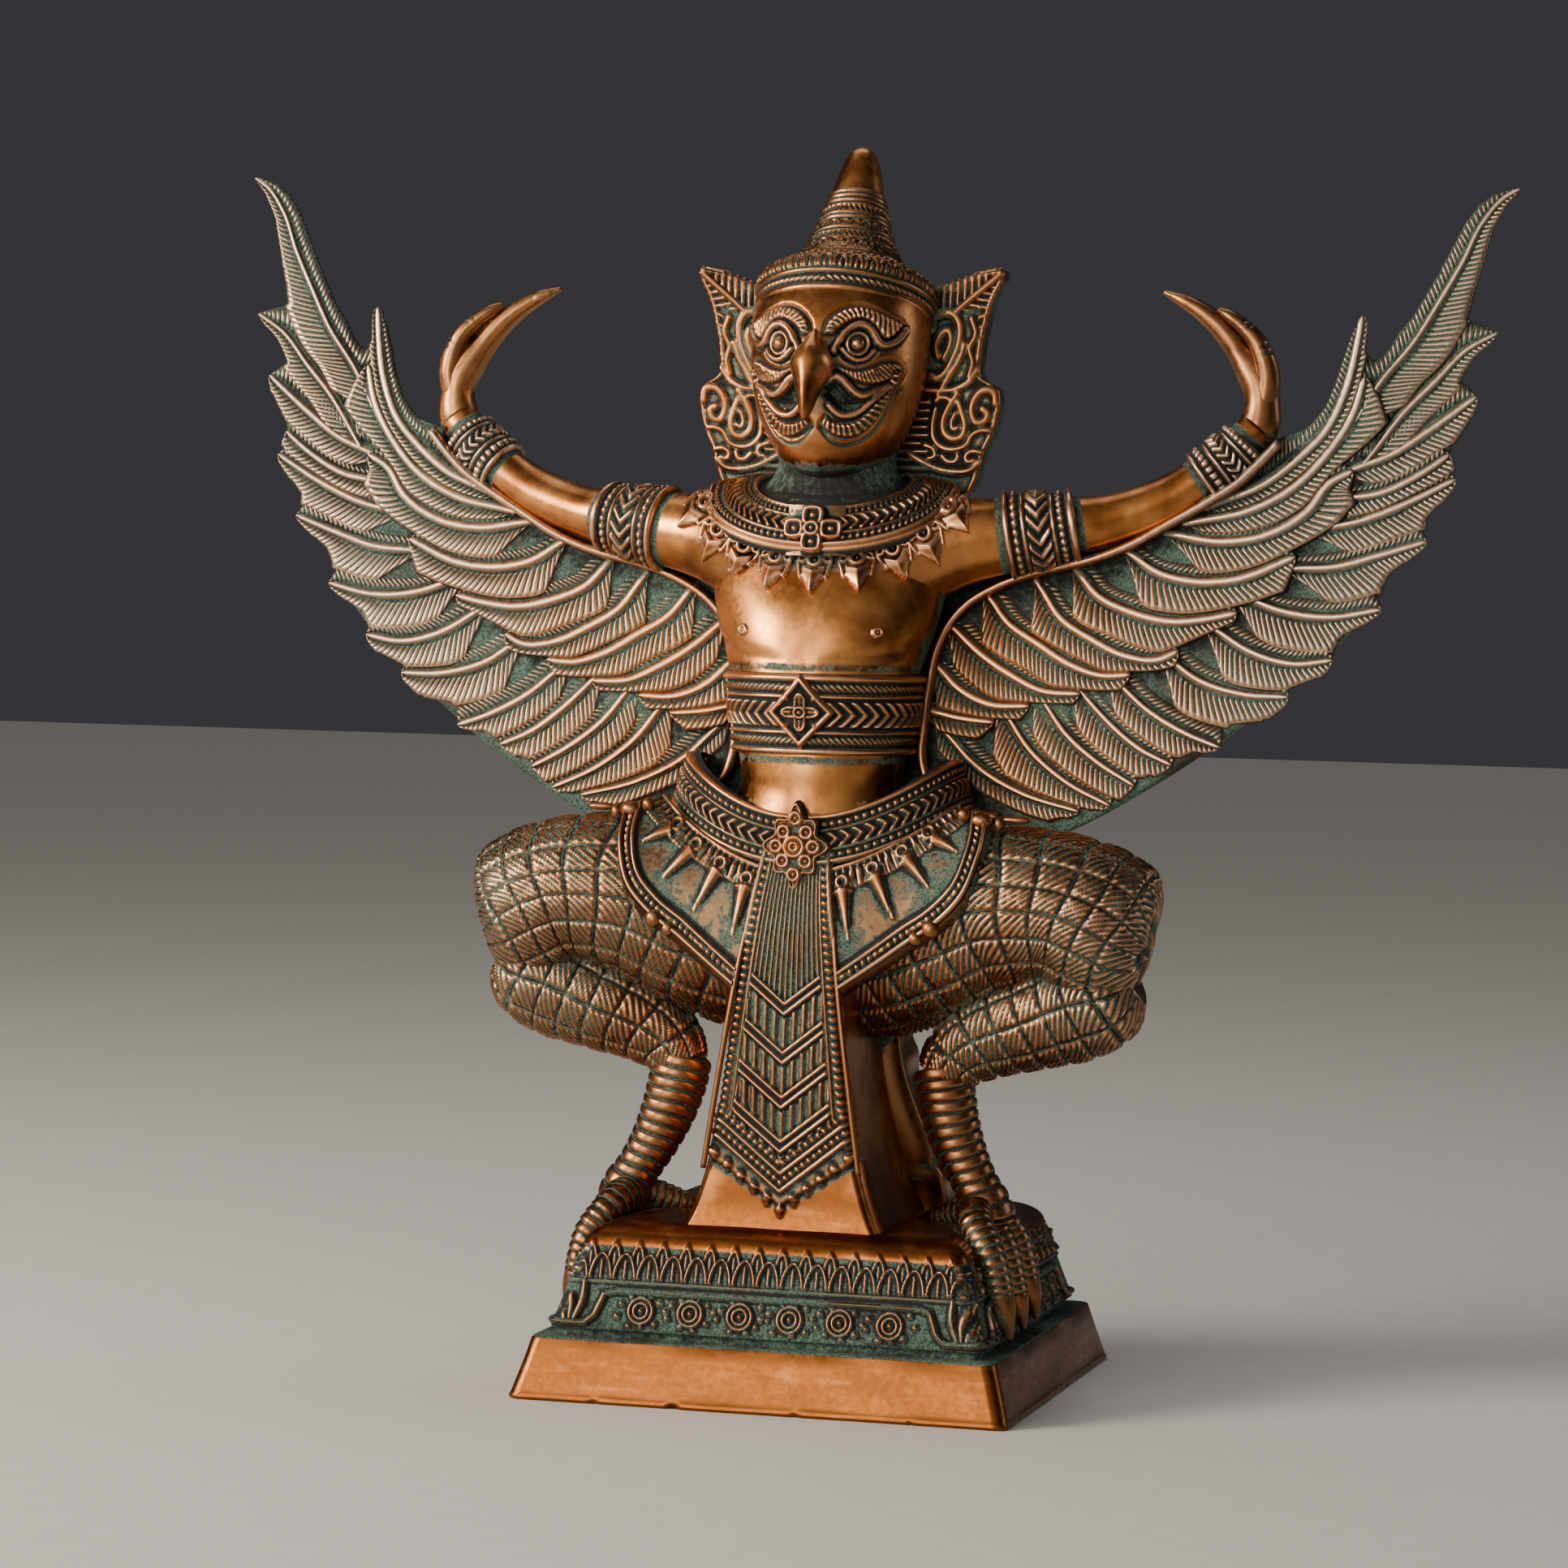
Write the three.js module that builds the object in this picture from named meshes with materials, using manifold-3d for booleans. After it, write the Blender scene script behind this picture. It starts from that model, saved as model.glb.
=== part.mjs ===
// A cast brass garuda figure, squatting with raised arms and spread wings on its own plinth.
//
// Millimetres, +Z up. The origin is the centre of the plinth's underside, and the figure faces -Y.
// The figure, its wings and the plinth are one casting, so they are one solid.

import * as THREE from 'three';
import { mergeVertices } from 'three/addons/utils/BufferGeometryUtils.js';
import Module from 'manifold-3d';

const wasm = await Module();
wasm.setup();

// Driving dimensions of the plinth and of the carving on it.
const PLINTH_WIDTH = 182;
const PLINTH_DEPTH = 172;
const PLINTH_CORNER = 5;
const SKIRT_HEIGHT = 22;
const SKIRT_SLOPE = 6.5;
const GROOVE_HEIGHT = 3;
const GROOVE_DEPTH = 7;
const LEDGE = 5;
const TIER_HEIGHT = 37;
const TIER_SLOPE = 9;
const TIER_ROUNDING = 9;
const PETAL_HEIGHT = 11;
const PETAL_PITCH = 12.5;
const PETAL_RELIEF = 2.4;
const FRAME_RAIL = 1.6;
const FRAME_HEIGHT = 13;
const ROSETTE_COUNT = 6;
const ROSETTE_RADIUS = 5;
const ROSETTE_RELIEF = 1.8;
const CORNER_LEAF = 12;

// Driving dimensions of the figure. Its pose and proportions are parts of its own height: every
// point on it is given on a drawing that counts from the ground, with the soles at 62 and the
// crown's tip at 450.
const FIGURE_HEIGHT = 388;
const DRAWN_SOLE = 62;
const DRAWN_CROWN = 450;
const WING_THICKNESS = 5;
const WING_EDGE = 2.6;
const WING_RELIEF = 2.4;
const WING_LAYER = 2.6;
const FEATHER_COUNT = 10;
const TARSUS_RINGS = 4;
const PENDANT_COUNT = 9;
const CROWN_PETALS = 10;

const scale = FIGURE_HEIGHT / (DRAWN_CROWN - DRAWN_SOLE);
const plinthTop = SKIRT_HEIGHT + GROOVE_HEIGHT + TIER_HEIGHT;
const at = (x, y, z) => new THREE.Vector3(x * scale, y * scale, plinthTop + (z - DRAWN_SOLE) * scale);
const lerp = THREE.MathUtils.lerp;

// A closed geometry becomes a solid once its shared vertices are merged.
function solid(geometry) {
  const bare = geometry.index ? geometry.toNonIndexed() : geometry.clone();
  bare.deleteAttribute('normal');
  bare.deleteAttribute('uv');
  const merged = mergeVertices(bare, 1e-4);
  return new wasm.Manifold(new wasm.Mesh({
    numProp: 3,
    vertProperties: new Float32Array(merged.attributes.position.array),
    triVerts: new Uint32Array(merged.index.array),
  }));
}

// The mirror image of a geometry in the figure's middle plane, with its faces turned back out.
function mirrored(geometry) {
  const copy = geometry.index ? geometry.toNonIndexed() : geometry.clone();
  const spots = copy.attributes.position;
  const corner = (i) => new THREE.Vector3().fromBufferAttribute(spots, i);
  for (let i = 0; i < spots.count; i += 3) {
    const [a, b, c] = [corner(i), corner(i + 1), corner(i + 2)];
    [a, c, b].forEach((p, k) => spots.setXYZ(i + k, -p.x, p.y, p.z));
  }
  return copy;
}

// A closed skin over a row of rings that all have the same number of points.
function skin(rings) {
  const sides = rings[0].length;
  const points = rings.flat();
  const faces = [];
  for (let i = 0; i + 1 < rings.length; i += 1) {
    for (let j = 0; j < sides; j += 1) {
      const a = i * sides + j;
      const b = i * sides + (j + 1) % sides;
      faces.push(a, b, b + sides, a, b + sides, a + sides);
    }
  }
  [0, rings.length - 1].forEach((i) => {
    const middle = new THREE.Vector3();
    rings[i].forEach((p) => middle.addScaledVector(p, 1 / sides));
    points.push(middle);
    for (let j = 0; j < sides; j += 1) {
      const a = i * sides + j;
      const b = i * sides + (j + 1) % sides;
      faces.push(points.length - 1, i ? a : b, i ? b : a);
    }
  });
  const geometry = new THREE.BufferGeometry();
  geometry.setAttribute('position', new THREE.Float32BufferAttribute(points.flatMap((p) => p.toArray()), 3));
  geometry.setIndex(faces);
  return outward(geometry);
}

// A geometry whose volume comes out negative is turned inside out.
function outward(geometry) {
  const loose = geometry.index ? geometry.toNonIndexed() : geometry;
  const spots = loose.attributes.position;
  const corner = (i) => new THREE.Vector3().fromBufferAttribute(spots, i);
  let volume = 0;
  for (let i = 0; i < spots.count; i += 3) volume += corner(i).dot(corner(i + 1).cross(corner(i + 2)));
  if (volume > 0) return loose;
  for (let i = 0; i < spots.count; i += 3) {
    const second = corner(i + 1);
    const third = corner(i + 2);
    spots.setXYZ(i + 1, third.x, third.y, third.z);
    spots.setXYZ(i + 2, second.x, second.y, second.z);
  }
  return loose;
}

// A limb: oval sections set square to a smooth line through stations [x, y, z, half-width, half-depth].
// The half-depth lies as near as it can along Y.
function limb(stations, { sides, steps = 0, swell = null, straight = false }) {
  const depthways = new THREE.Vector3(0, 1, 0);
  const line = new THREE.CatmullRomCurve3(stations.map(([x, y, z]) => at(x, y, z)));
  const last = stations.length - 1;
  const count = steps || last;
  const spots = stations.map(([x, y, z]) => at(x, y, z));
  const chordAt = (i) => spots[Math.min(i + 1, last)].clone().sub(spots[Math.max(i - 1, 0)]).normalize();
  const rings = [];
  for (let i = 0; i <= count; i += 1) {
    const t = i / count;
    const k = Math.min(Math.floor(t * last), last - 1);
    const f = t * last - k;
    const [wide, deep] = [3, 4].map((n) => lerp(stations[k][n], stations[k + 1][n], f) * scale);
    const along = straight ? chordAt(i) : line.getTangent(t);
    const aside = new THREE.Vector3().crossVectors(depthways, along).normalize();
    const inward = new THREE.Vector3().crossVectors(along, aside).normalize();
    const grow = swell ? swell(i) : 1;
    const centre = straight ? spots[i] : line.getPoint(t);
    rings.push(Array.from({ length: sides }, (_, j) => {
      const turn = (j + 0.5) * 2 * Math.PI / sides;
      return centre.clone()
        .addScaledVector(aside, Math.cos(turn) * wide * grow)
        .addScaledVector(inward, Math.sin(turn) * deep * grow);
    }));
  }
  return skin(rings);
}

// A body: level oval sections [z, middle y, half-width, half-depth], one above the other.
function body(sections, sides) {
  return skin(sections.map(([z, y, wide, deep]) => Array.from({ length: sides }, (_, j) => {
    const turn = j * 2 * Math.PI / sides;
    return at(Math.cos(turn) * wide, y + Math.sin(turn) * deep, z);
  })));
}

// An egg-shaped swelling, such as a knee or an eyeball.
function swelling([x, y, z], [wide, deep, tall], sides, rows) {
  const ball = new THREE.SphereGeometry(1, sides, rows).rotateX(Math.PI / 2);
  ball.scale(wide * scale, deep * scale, tall * scale);
  const place = at(x, y, z);
  return ball.translate(place.x, place.y, place.z);
}

// A flat ornament: an outline in the figure's own width and height, as thick as told, set at a point
// and tipped back about the X axis by an angle.
function ornament(outline, thickness, [x, y, z], tip = 0, turn = 0) {
  const shape = new THREE.Shape(outline.map(([u, v]) => new THREE.Vector2(u * scale, v * scale)));
  const plate = new THREE.ExtrudeGeometry(shape, { depth: thickness * scale, bevelEnabled: false });
  plate.translate(0, 0, -thickness * scale / 2);
  plate.rotateX(Math.PI / 2 - tip);
  plate.rotateZ(turn);
  const place = at(x, y, z);
  return plate.translate(place.x, place.y, place.z);
}

// A star outline with as many points as told, which a diamond or a flower starts from.
const star = (points, outer, inner, tall = 1) => Array.from({ length: points * 2 }, (_, i) => {
  const turn = Math.PI / 2 + i * Math.PI / points;
  const reach = i % 2 ? inner : outer;
  return [Math.cos(turn) * reach, Math.sin(turn) * reach * tall];
});

// Plinth. Its sections are rectangles with cut corners, each inset from the base by a named amount.
const insetOf = { top: SKIRT_SLOPE, groove: SKIRT_SLOPE + GROOVE_DEPTH, tier: SKIRT_SLOPE + LEDGE };
insetOf.edge = insetOf.tier + TIER_SLOPE;
const tierBase = SKIRT_HEIGHT + GROOVE_HEIGHT;
const tierEdge = plinthTop - TIER_ROUNDING;
const tierInset = (z) => lerp(insetOf.tier, insetOf.edge, (z - tierBase) / (tierEdge - tierBase));

function plinthRing(inset, z) {
  const halfWidth = PLINTH_WIDTH / 2 - inset;
  const halfDepth = PLINTH_DEPTH / 2 - inset;
  const cut = PLINTH_CORNER;
  const chamfer = [halfWidth - cut * 0.3, halfDepth - cut * 0.3];
  const quarter = [[halfWidth, halfDepth - cut], chamfer, [halfWidth - cut, halfDepth]];
  const turned = (sx, sy, list) => list.map(([x, y]) => new THREE.Vector3(sx * x, sy * y, z));
  return [
    ...turned(1, 1, quarter),
    ...turned(-1, 1, [...quarter].reverse()),
    ...turned(-1, -1, quarter),
    ...turned(1, -1, [...quarter].reverse()),
  ];
}

function plinthBody() {
  return skin([
    plinthRing(0, 0),
    plinthRing(insetOf.top, SKIRT_HEIGHT),
    plinthRing(insetOf.groove, SKIRT_HEIGHT + 0.2),
    plinthRing(insetOf.groove, tierBase - 0.4),
    plinthRing(insetOf.tier, tierBase),
    plinthRing(insetOf.edge, tierEdge),
    plinthRing(insetOf.edge + TIER_ROUNDING * 0.3, plinthTop - TIER_ROUNDING * 0.55),
    plinthRing(insetOf.edge + TIER_ROUNDING * 1.4, plinthTop),
  ]);
}

// A lotus frieze: a pleated band along the upper tier's front, with a ridge and a point for each petal.
function lotusFrieze() {
  const top = tierEdge - 1;
  const foot = top - PETAL_HEIGHT;
  const half = PLINTH_WIDTH / 2 - tierInset(top) - PLINTH_CORNER;
  const petals = Math.round(2 * half / PETAL_PITCH);
  const face = (z) => -(PLINTH_DEPTH / 2 - tierInset(z));
  const columns = Array.from({ length: petals * 2 + 1 }, (_, i) => {
    const u = lerp(-half, half, i / (petals * 2));
    const isRidge = i % 2;
    const crest = isRidge ? top : lerp(foot, top, 0.4);
    const spot = (proud, z) => new THREE.Vector3(u, face(z) - proud, z);
    const [low, high] = isRidge ? [PETAL_RELIEF, PETAL_RELIEF * 0.4] : [0.6, 0.3];
    return [spot(-2, foot - 0.6), spot(low, foot), spot(high, crest), spot(-2, crest + 0.5)];
  });
  return skin(columns);
}

// Everything below the frieze on the plinth's front: the raised frame, its rosettes and the leaves
// that fan out in the corners. Each is drawn flat, and then laid on the tier's sloping front.
function onFront(geometry, u, z) {
  const slope = Math.atan2(TIER_SLOPE, tierEdge - tierBase);
  geometry.rotateX(-slope);
  return geometry.translate(u, -(PLINTH_DEPTH / 2 - tierInset(z)), z);
}

function rosette() {
  const [r, h] = [ROSETTE_RADIUS, ROSETTE_RELIEF];
  const profile = [[0, -1], [r, -1], [r * 0.8, h], [r * 0.5, h * 0.3], [0, h]];
  return new THREE.LatheGeometry(profile.map(([x, y]) => new THREE.Vector2(x, y)), 6).rotateX(Math.PI);
}

function plinthCarving() {
  const pieces = [];
  const foot = tierBase + 1;
  const lintel = tierBase + FRAME_HEIGHT;
  const half = PLINTH_WIDTH / 2 - tierInset(foot);
  const rail = (u, z, length, turn) => {
    const bar = new THREE.CylinderGeometry(FRAME_RAIL, FRAME_RAIL, length, 4).rotateZ(Math.PI / 2);
    pieces.push(onFront(bar.rotateY(turn), u, z));
  };
  const post = half - CORNER_LEAF;
  rail(0, lintel, 2 * post - 8, 0);
  [-1, 1].forEach((side) => {
    rail(side * (post - 2), (foot + lintel) / 2, FRAME_HEIGHT + 1, side * -1.15);
    rail(side * (half - 5), foot + 1, 11, 0);
    for (let i = 0; i < 3; i += 1) {
      const leaf = new THREE.ConeGeometry(2.6, CORNER_LEAF, 4).scale(1, 1, 0.7).rotateX(Math.PI / 2);
      leaf.translate(0, 0, CORNER_LEAF / 2).rotateY(side * (i - 0.6) * -0.4);
      pieces.push(onFront(leaf, side * (half - 7), foot + 1));
    }
  });
  for (let i = 0; i < ROSETTE_COUNT; i += 1) {
    const u = lerp(-post + 13, post - 13, i / (ROSETTE_COUNT - 1));
    pieces.push(onFront(rosette(), u, (foot + lintel) / 2 - 0.5));
  }
  return pieces;
}

// Torso, from the seat to the neck, with its breast muscles. The midriff belt is part of its profile:
// a rail at each edge, a rope inside each rail and a plain ground between them.
function torso() {
  const belt = [
    [229.5, 0], [230.5, 2.6], [235.5, 2.6], [237, 0.9], [250, 0.9], [251.5, 2.6], [256.5, 2.6], [257.5, 0],
  ];
  const girth = [
    [118, 4, 18, 16], [134, 2, 34, 28], [160, -2, 40, 32], [190, -6, 38, 31], [207, -8, 36, 30],
    [219, -8, 31, 28],
    [229, -8, 32.6, 28.8], [258, -9, 37, 30], [273, -7, 41, 28], [290, -4, 43, 25], [306, 0, 41, 21],
    [319, 3, 33, 19],
    [330, 3, 23, 18], [345, 3, 22, 18],
  ];
  const belted = belt.map(([z, proud]) => {
    const [low, high] = [girth[6], girth[7]];
    const share = (z - low[0]) / (high[0] - low[0]);
    const [, mid, wide, deep] = low.map((value, k) => lerp(value, high[k], share));
    return [z, mid, wide + proud, deep + proud];
  });
  return [
    body([...girth.slice(0, 6), ...belted, ...girth.slice(8)], 12),
    swelling([17, -16, 276], [20, 19, 17], 7, 5),
    swelling([-17, -16, 276], [20, 19, 17], 7, 5),
  ];
}

// The right-hand leg: a thigh and a calf folded together at the knee, a ringed tarsus like a bird's,
// and a foot whose front toes drape over the plinth's side.
function leg() {
  const thigh = limb([
    [16, -3, 160, 34, 26], [44, -12, 168, 36, 28], [70, -16, 176, 30, 27], [92, -17, 175, 27.5, 27],
    [107, -17, 166, 31, 25],
    [118, -17, 163, 20, 17], [123.5, -17, 162, 4, 4],
  ], { sides: 10, straight: true });
  const calf = limb([
    [110, -16, 150, 14, 16], [100, -14, 145, 19.5, 20], [83, -13, 138, 18, 19], [64, -13, 130, 15.5, 16],
    [50, -15, 120, 11.5, 12],
    [46, -16, 111, 8, 9],
  ], { sides: 7 });
  const rings = TARSUS_RINGS * 2;
  const tarsus = limb([
    [49, -17, 121, 10, 10], [51, -18, 107, 10.5, 10.5], [57, -19, 92, 9, 9.5], [63, -20, 79, 7.8, 8.5],
    [67, -22, 70, 9, 9],
    [69, -22, 62, 10, 10],
  ], { sides: 6, steps: rings, swell: (i) => (i % 2 ? 1.08 : 0.88) });
  const toe = (spots) => limb(spots, { sides: 4 });
  const edge = PLINTH_WIDTH / 2 - insetOf.edge;
  const side = edge / scale;
  const toes = [-46, -24, -2].map((y, i) => toe([
    [66, -22, 68, 7, 6], [side - 2, y * 0.8 - 5, 62, 6, 6], [side + 6, y, 50, 5.5, 6],
    [side + 9, y, 36 + i, 4.6, 5],
    [side + 11, y + 1, 25, 1.4, 1.4],
  ]));
  const hind = toe([[64, -20, 67, 6.5, 6], [54, -15, 65, 5, 4.5], [45, -11, 62, 3.2, 3.2], [40, -9, 60, 1.4, 1.4]]);
  return [thigh, calf, tarsus, ...toes, hind];
}

// The loincloth's long panel is the front of a post that stands on the plinth, and the tail behind
// it fans out as the figure's rear support.
function slab(sections) {
  return skin(sections.map(([z, half, front, back]) => [
    [half, back], [-half, back], [-half, front + 2], [-half + 2, front], [half - 2, front], [half, front + 2],
  ].map(([x, y]) => at(x, y, z))));
}

function postAndTail() {
  return [
    slab([
      [54, 38, -56, 32], [62, 35.5, -55.5, 30], [70, 31, -54.5, 26], [92, 26, -54, 16],
      [118, 22, -53.5, 4], [144, 19.5, -52, -4],
      [172, 17, -48, -6], [196, 14, -40, -10],
    ]),
    slab([[54, 46, 16, 50], [62, 44, 15, 47], [84, 38, 9, 37], [114, 27, 2, 27], [145, 25, 2, 26], [178, 22, 4, 24]]),
  ];
}

// The loincloth's carving: a beaded border down each side, chevrons between them, and drops along
// its pointed end.
function loinclothCarving() {
  const pieces = [];
  [-1, 1].forEach((side) => {
    const border = [[12, -42.5, 190], [17, -51.5, 150], [26, -54.3, 84]];
    pieces.push(limb(border.map(([x, y, z]) => [side * x, y, z, 1.6, 1.6]), { sides: 4 }));
  });
  [84, 112, 137].forEach((z, i) => {
    const wide = lerp(26, 18, i / 2);
    const thick = i ? 2.4 : 5;
    const vee = [[-wide, 0], [0, -wide * 0.62], [wide, 0], [wide, thick], [0, thick - wide * 0.62], [-wide, thick]];
    pieces.push(ornament(vee, 4, [0, lerp(-54, -52, i / 2), z]));
  });
  for (let i = -3; i <= 3; i += 1) {
    pieces.push(ornament(star(2, 4, 2.6), 5, [i * 7.4, -54.6, 62 + Math.abs(i) * 4.6]));
  }
  return pieces;
}

// A strip between two lines of points, thickened backwards: a carved panel that lies on the body.
function panel(upper, lower, thickness, ridge) {
  return skin(upper.map((_, i) => {
    const [a, b] = [at(...upper[i]), at(...lower[i])];
    const back = new THREE.Vector3(0, thickness * scale, 0);
    const middle = a.clone().lerp(b, 0.5);
    middle.y -= (i % 2 ? ridge : 0) * scale;
    return [a, middle, b, b.clone().add(back), a.clone().add(back)];
  }));
}

// A band of rails and grooves: one carved section, given as [drop, proud] steps, swept along a row of
// frames, each a point with its outward and its downward direction.
function band(frames, section) {
  return skin(frames.map(([spot, out, down]) => section.map(([drop, proud]) => {
    const [x, y, z] = spot.map((value, k) => value + out[k] * proud + down[k] * drop);
    return at(x, y, z);
  })));
}

// The hip girdle hangs in a curve under the bare belly, and an apron of rays spreads below it over
// each thigh, edged by a beaded border.
function girdle() {
  const frames = Array.from({ length: 11 }, (_, i) => {
    const t = lerp(-1.25, 1.25, i / 10);
    const spot = [52 * Math.sin(t), -8 - 31 * Math.cos(t), 215 - 15 * Math.cos(t) ** 2];
    return [spot, [Math.sin(t) * 0.9, -Math.cos(t), 0.35], [0, -0.3, -1]];
  });
  const section = [[0, -8], [-1, 1.5], [3, 1.8], [4.5, 0.2], [11, 0.6], [12.5, 2.2], [17, 2], [17, -8]];
  return [band(frames, section)];
}

function apron() {
  const border = [[67, -34, 206], [66, -39, 192], [62, -43, 178], [54, -46, 166], [43, -49, 157], [32, -51, 150], [20, -51.5, 146]];
  const inner = [[52, -27, 206], [50, -33, 200], [46, -36, 195], [40, -39, 191], [33, -42, 188], [25, -43.5, 186], [17, -44, 184]];
  const edge = limb(border.map((p) => [...p, 2.6, 2.6]), { sides: 4, steps: 6 });
  const knot = swelling([67, -33, 208], [5, 5, 4], 5, 3);
  const rays = panel(inner, border.map(([x, y, z]) => [x, y + 1, z]), 9, 2.2);
  return [edge, knot, rays];
}

// Collar: a sloping ring of bands round the neck, with arrow-headed pendants hanging from it.
const collarPoint = (t, out) => {
  const across = lerp(22, 49, out);
  const deep = lerp(19, 30, out);
  const fall = 5 * Math.cos(t) + out * (9 + 18 * Math.max(Math.cos(t), 0));
  return [across * Math.sin(t), 3 - deep * Math.cos(t), 326 - fall];
};

function collar() {
  const frames = Array.from({ length: 11 }, (_, i) => {
    const t = lerp(-1.5, 1.5, i / 10);
    const [inner, outer] = [collarPoint(t, 0), collarPoint(t, 1)];
    const down = outer.map((value, k) => (value - inner[k]) / 30);
    return [inner, [Math.sin(t) * 0.5, -Math.cos(t) * 0.5, 0.8], down];
  });
  const section = [[0, -6], [0, 2], [9, 2.8], [11, 1], [19, 1.4], [21, 3], [29, 2.6], [30, -6]];
  const pieces = [band(frames, section)];
  for (let i = 0; i < PENDANT_COUNT; i += 1) {
    const t = lerp(-1.15, 1.15, i / (PENDANT_COUNT - 1));
    const [x, y, z] = collarPoint(t, 1);
    const drop = [[0, 7], [4, -1], [0, -9], [-4, -1]];
    pieces.push(ornament(drop, 5, [x * 0.98, y + 1.5, z - 6], 0.12, t * 0.8));
  }
  return pieces;
}

function flowers() {
  const quatrefoil = star(4, 8.5, 5);
  return [
    ornament(star(8, 13, 10, 1.22), 7, [0, -40.5, 197.5], 0.1),
    ornament(star(4, 6, 2.6), 10, [0, -40.5, 197.5], 0.1),
    ornament(star(2, 12.5, 9.4), 7, [0, -40.5, 244], 0.05),
    ornament(star(4, 5, 2.4), 10, [0, -40.5, 244], 0.05),
    ornament(quatrefoil, 8, [0, -21, 309], 0.45),
  ];
}

// Head, with its hooked beak, and the swellings of brow, cheek and lip that its carving rides on.
function head() {
  const skull = body([
    [326, 3, 20, 17], [334, 1, 21, 20], [340, 0, 26, 26], [349, 0, 30.5, 30], [361, 1, 33, 32],
    [376, 3, 33.5, 33],
    [390, 6, 33, 32], [400, 9, 28, 28],
  ], 13);
  const beak = skin([
    [383, -26, 1.2, 5], [376, -30, 6, 7], [368, -34, 8.4, 9], [360, -38, 7, 8.5], [352.5, -41.5, 4, 5.5],
    [347, -43, 1, 2],
  ].map(([z, y, wide, deep]) => Array.from({ length: 7 }, (_, j) => {
    const turn = (j * 2 - 3.5) * Math.PI / 7;
    return at(Math.cos(turn) * wide, y + Math.sin(turn) * deep, z);
  })));
  return [skull, beak];
}

// One side of the face, on the skull's curved front.
const onFace = (x, z, proud = 0) => {
  const level = lerp(0, 5, (z - 340) / 50);
  const reach = z < 350 ? lerp(26, 30, (z - 340) / 9) : lerp(31, 33, (z - 350) / 40);
  const wide = z < 350 ? lerp(26, 31, (z - 340) / 10) : 33.5;
  return [x, level - reach * Math.sqrt(Math.max(1 - (x / wide) ** 2, 0.02)) - proud, z];
};

function faceSide() {
  const rib = (list, r, steps) => {
    const stations = list.map(([x, z, k = 1]) => [...onFace(x, z), r * k, r * k]);
    return limb(stations, { sides: 4, steps });
  };
  const socket = [[0, -3], [8.4, -3], [7.8, 1.2], [4.6, -0.2], [2.8, 2], [0, 2.4]];
  const eye = new THREE.LatheGeometry(socket.map(([r, h]) => new THREE.Vector2(r * scale, h * scale)), 7);
  const seat = at(...onFace(15.5, 375.5));
  eye.scale(1, 1, 0.66).rotateX(Math.PI).rotateZ(0.45).translate(seat.x, seat.y, seat.z);
  return [
    rib([[4, 381], [8, 387], [16, 389.5], [24, 386], [29, 379, 0.6]], 2.4, 3),
    eye,
    rib([[7, 363], [14, 361], [21, 364], [27, 368, 0.6]], 2.2, 2),
    rib([[4, 346, 0.8], [11, 347.5], [19, 351], [25.5, 357.5], [29.5, 366, 0.6]], 2.6, 4),
  ];
}

// Crown: a tall cone of ringed bands over a headband, turned in one profile and leant back.
const CROWN_LEAN = 0.25;
const crownSeat = [0, 9, 390];

function crown() {
  const profile = [
    [0, -6], [30, -6], [36.5, 0], [37, 3], [34.4, 5.5], [36.5, 9], [24, 17], [18, 28], [14.4, 30], [13, 38],
    [10.4, 39.5], [7.4, 52], [3.8, 60], [0, 62],
  ];
  const cone = new THREE.LatheGeometry(profile.map(([r, h]) => new THREE.Vector2(r * scale, h * scale)), 11);
  const pleat = (reach, level, dip) => Array.from({ length: CROWN_PETALS * 2 }, (_, i) => {
    const turn = i * Math.PI / CROWN_PETALS;
    const valley = i % 2;
    const r = (reach - valley * dip[0]) * scale;
    return new THREE.Vector3(Math.sin(turn) * r, (level - valley * dip[1]) * scale, Math.cos(turn) * r);
  });
  const petals = skin([pleat(32, 9.5, [0, 0]), pleat(35.5, 10.5, [1.6, 0]), pleat(27, 18.5, [-1, 4])]);
  const seat = at(...crownSeat);
  return [cone, petals].map((piece) => {
    piece.rotateX(Math.PI / 2 - CROWN_LEAN);
    return piece.translate(seat.x, seat.y, seat.z);
  });
}

// The right-hand ear: a flame-shaped plate behind the face, with a folded ear at its inner edge.
function ear() {
  const flame = [
    [33, 325], [47, 325], [51.5, 337], [54, 352], [58, 364], [53, 369], [49.5, 366], [51, 378], [55, 388],
    [57, 404],
    [47, 401], [40, 396], [32, 392],
  ];
  const plate = ornament(flame.map(([x, z]) => [x - 44, z - 362]), 8, [44, 17, 362], 0.12);
  const fold = limb([
    [35, 9, 358, 3.4, 5], [40, 9, 364, 3.4, 5], [43, 11, 376, 3.6, 5], [41, 13, 387, 3.4, 5],
    [36, 13, 389, 3, 4],
  ], { sides: 4, steps: 4 });
  const curl = limb([
    [47, 14, 365, 3, 4], [51, 13, 360, 3, 4], [49, 12, 352, 3, 4], [44, 12, 346, 3, 4],
    [46, 11, 337, 3, 4], [41, 11, 331, 3, 4],
  ], { sides: 4, steps: 3 });
  return [plate, fold, curl];
}

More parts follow.
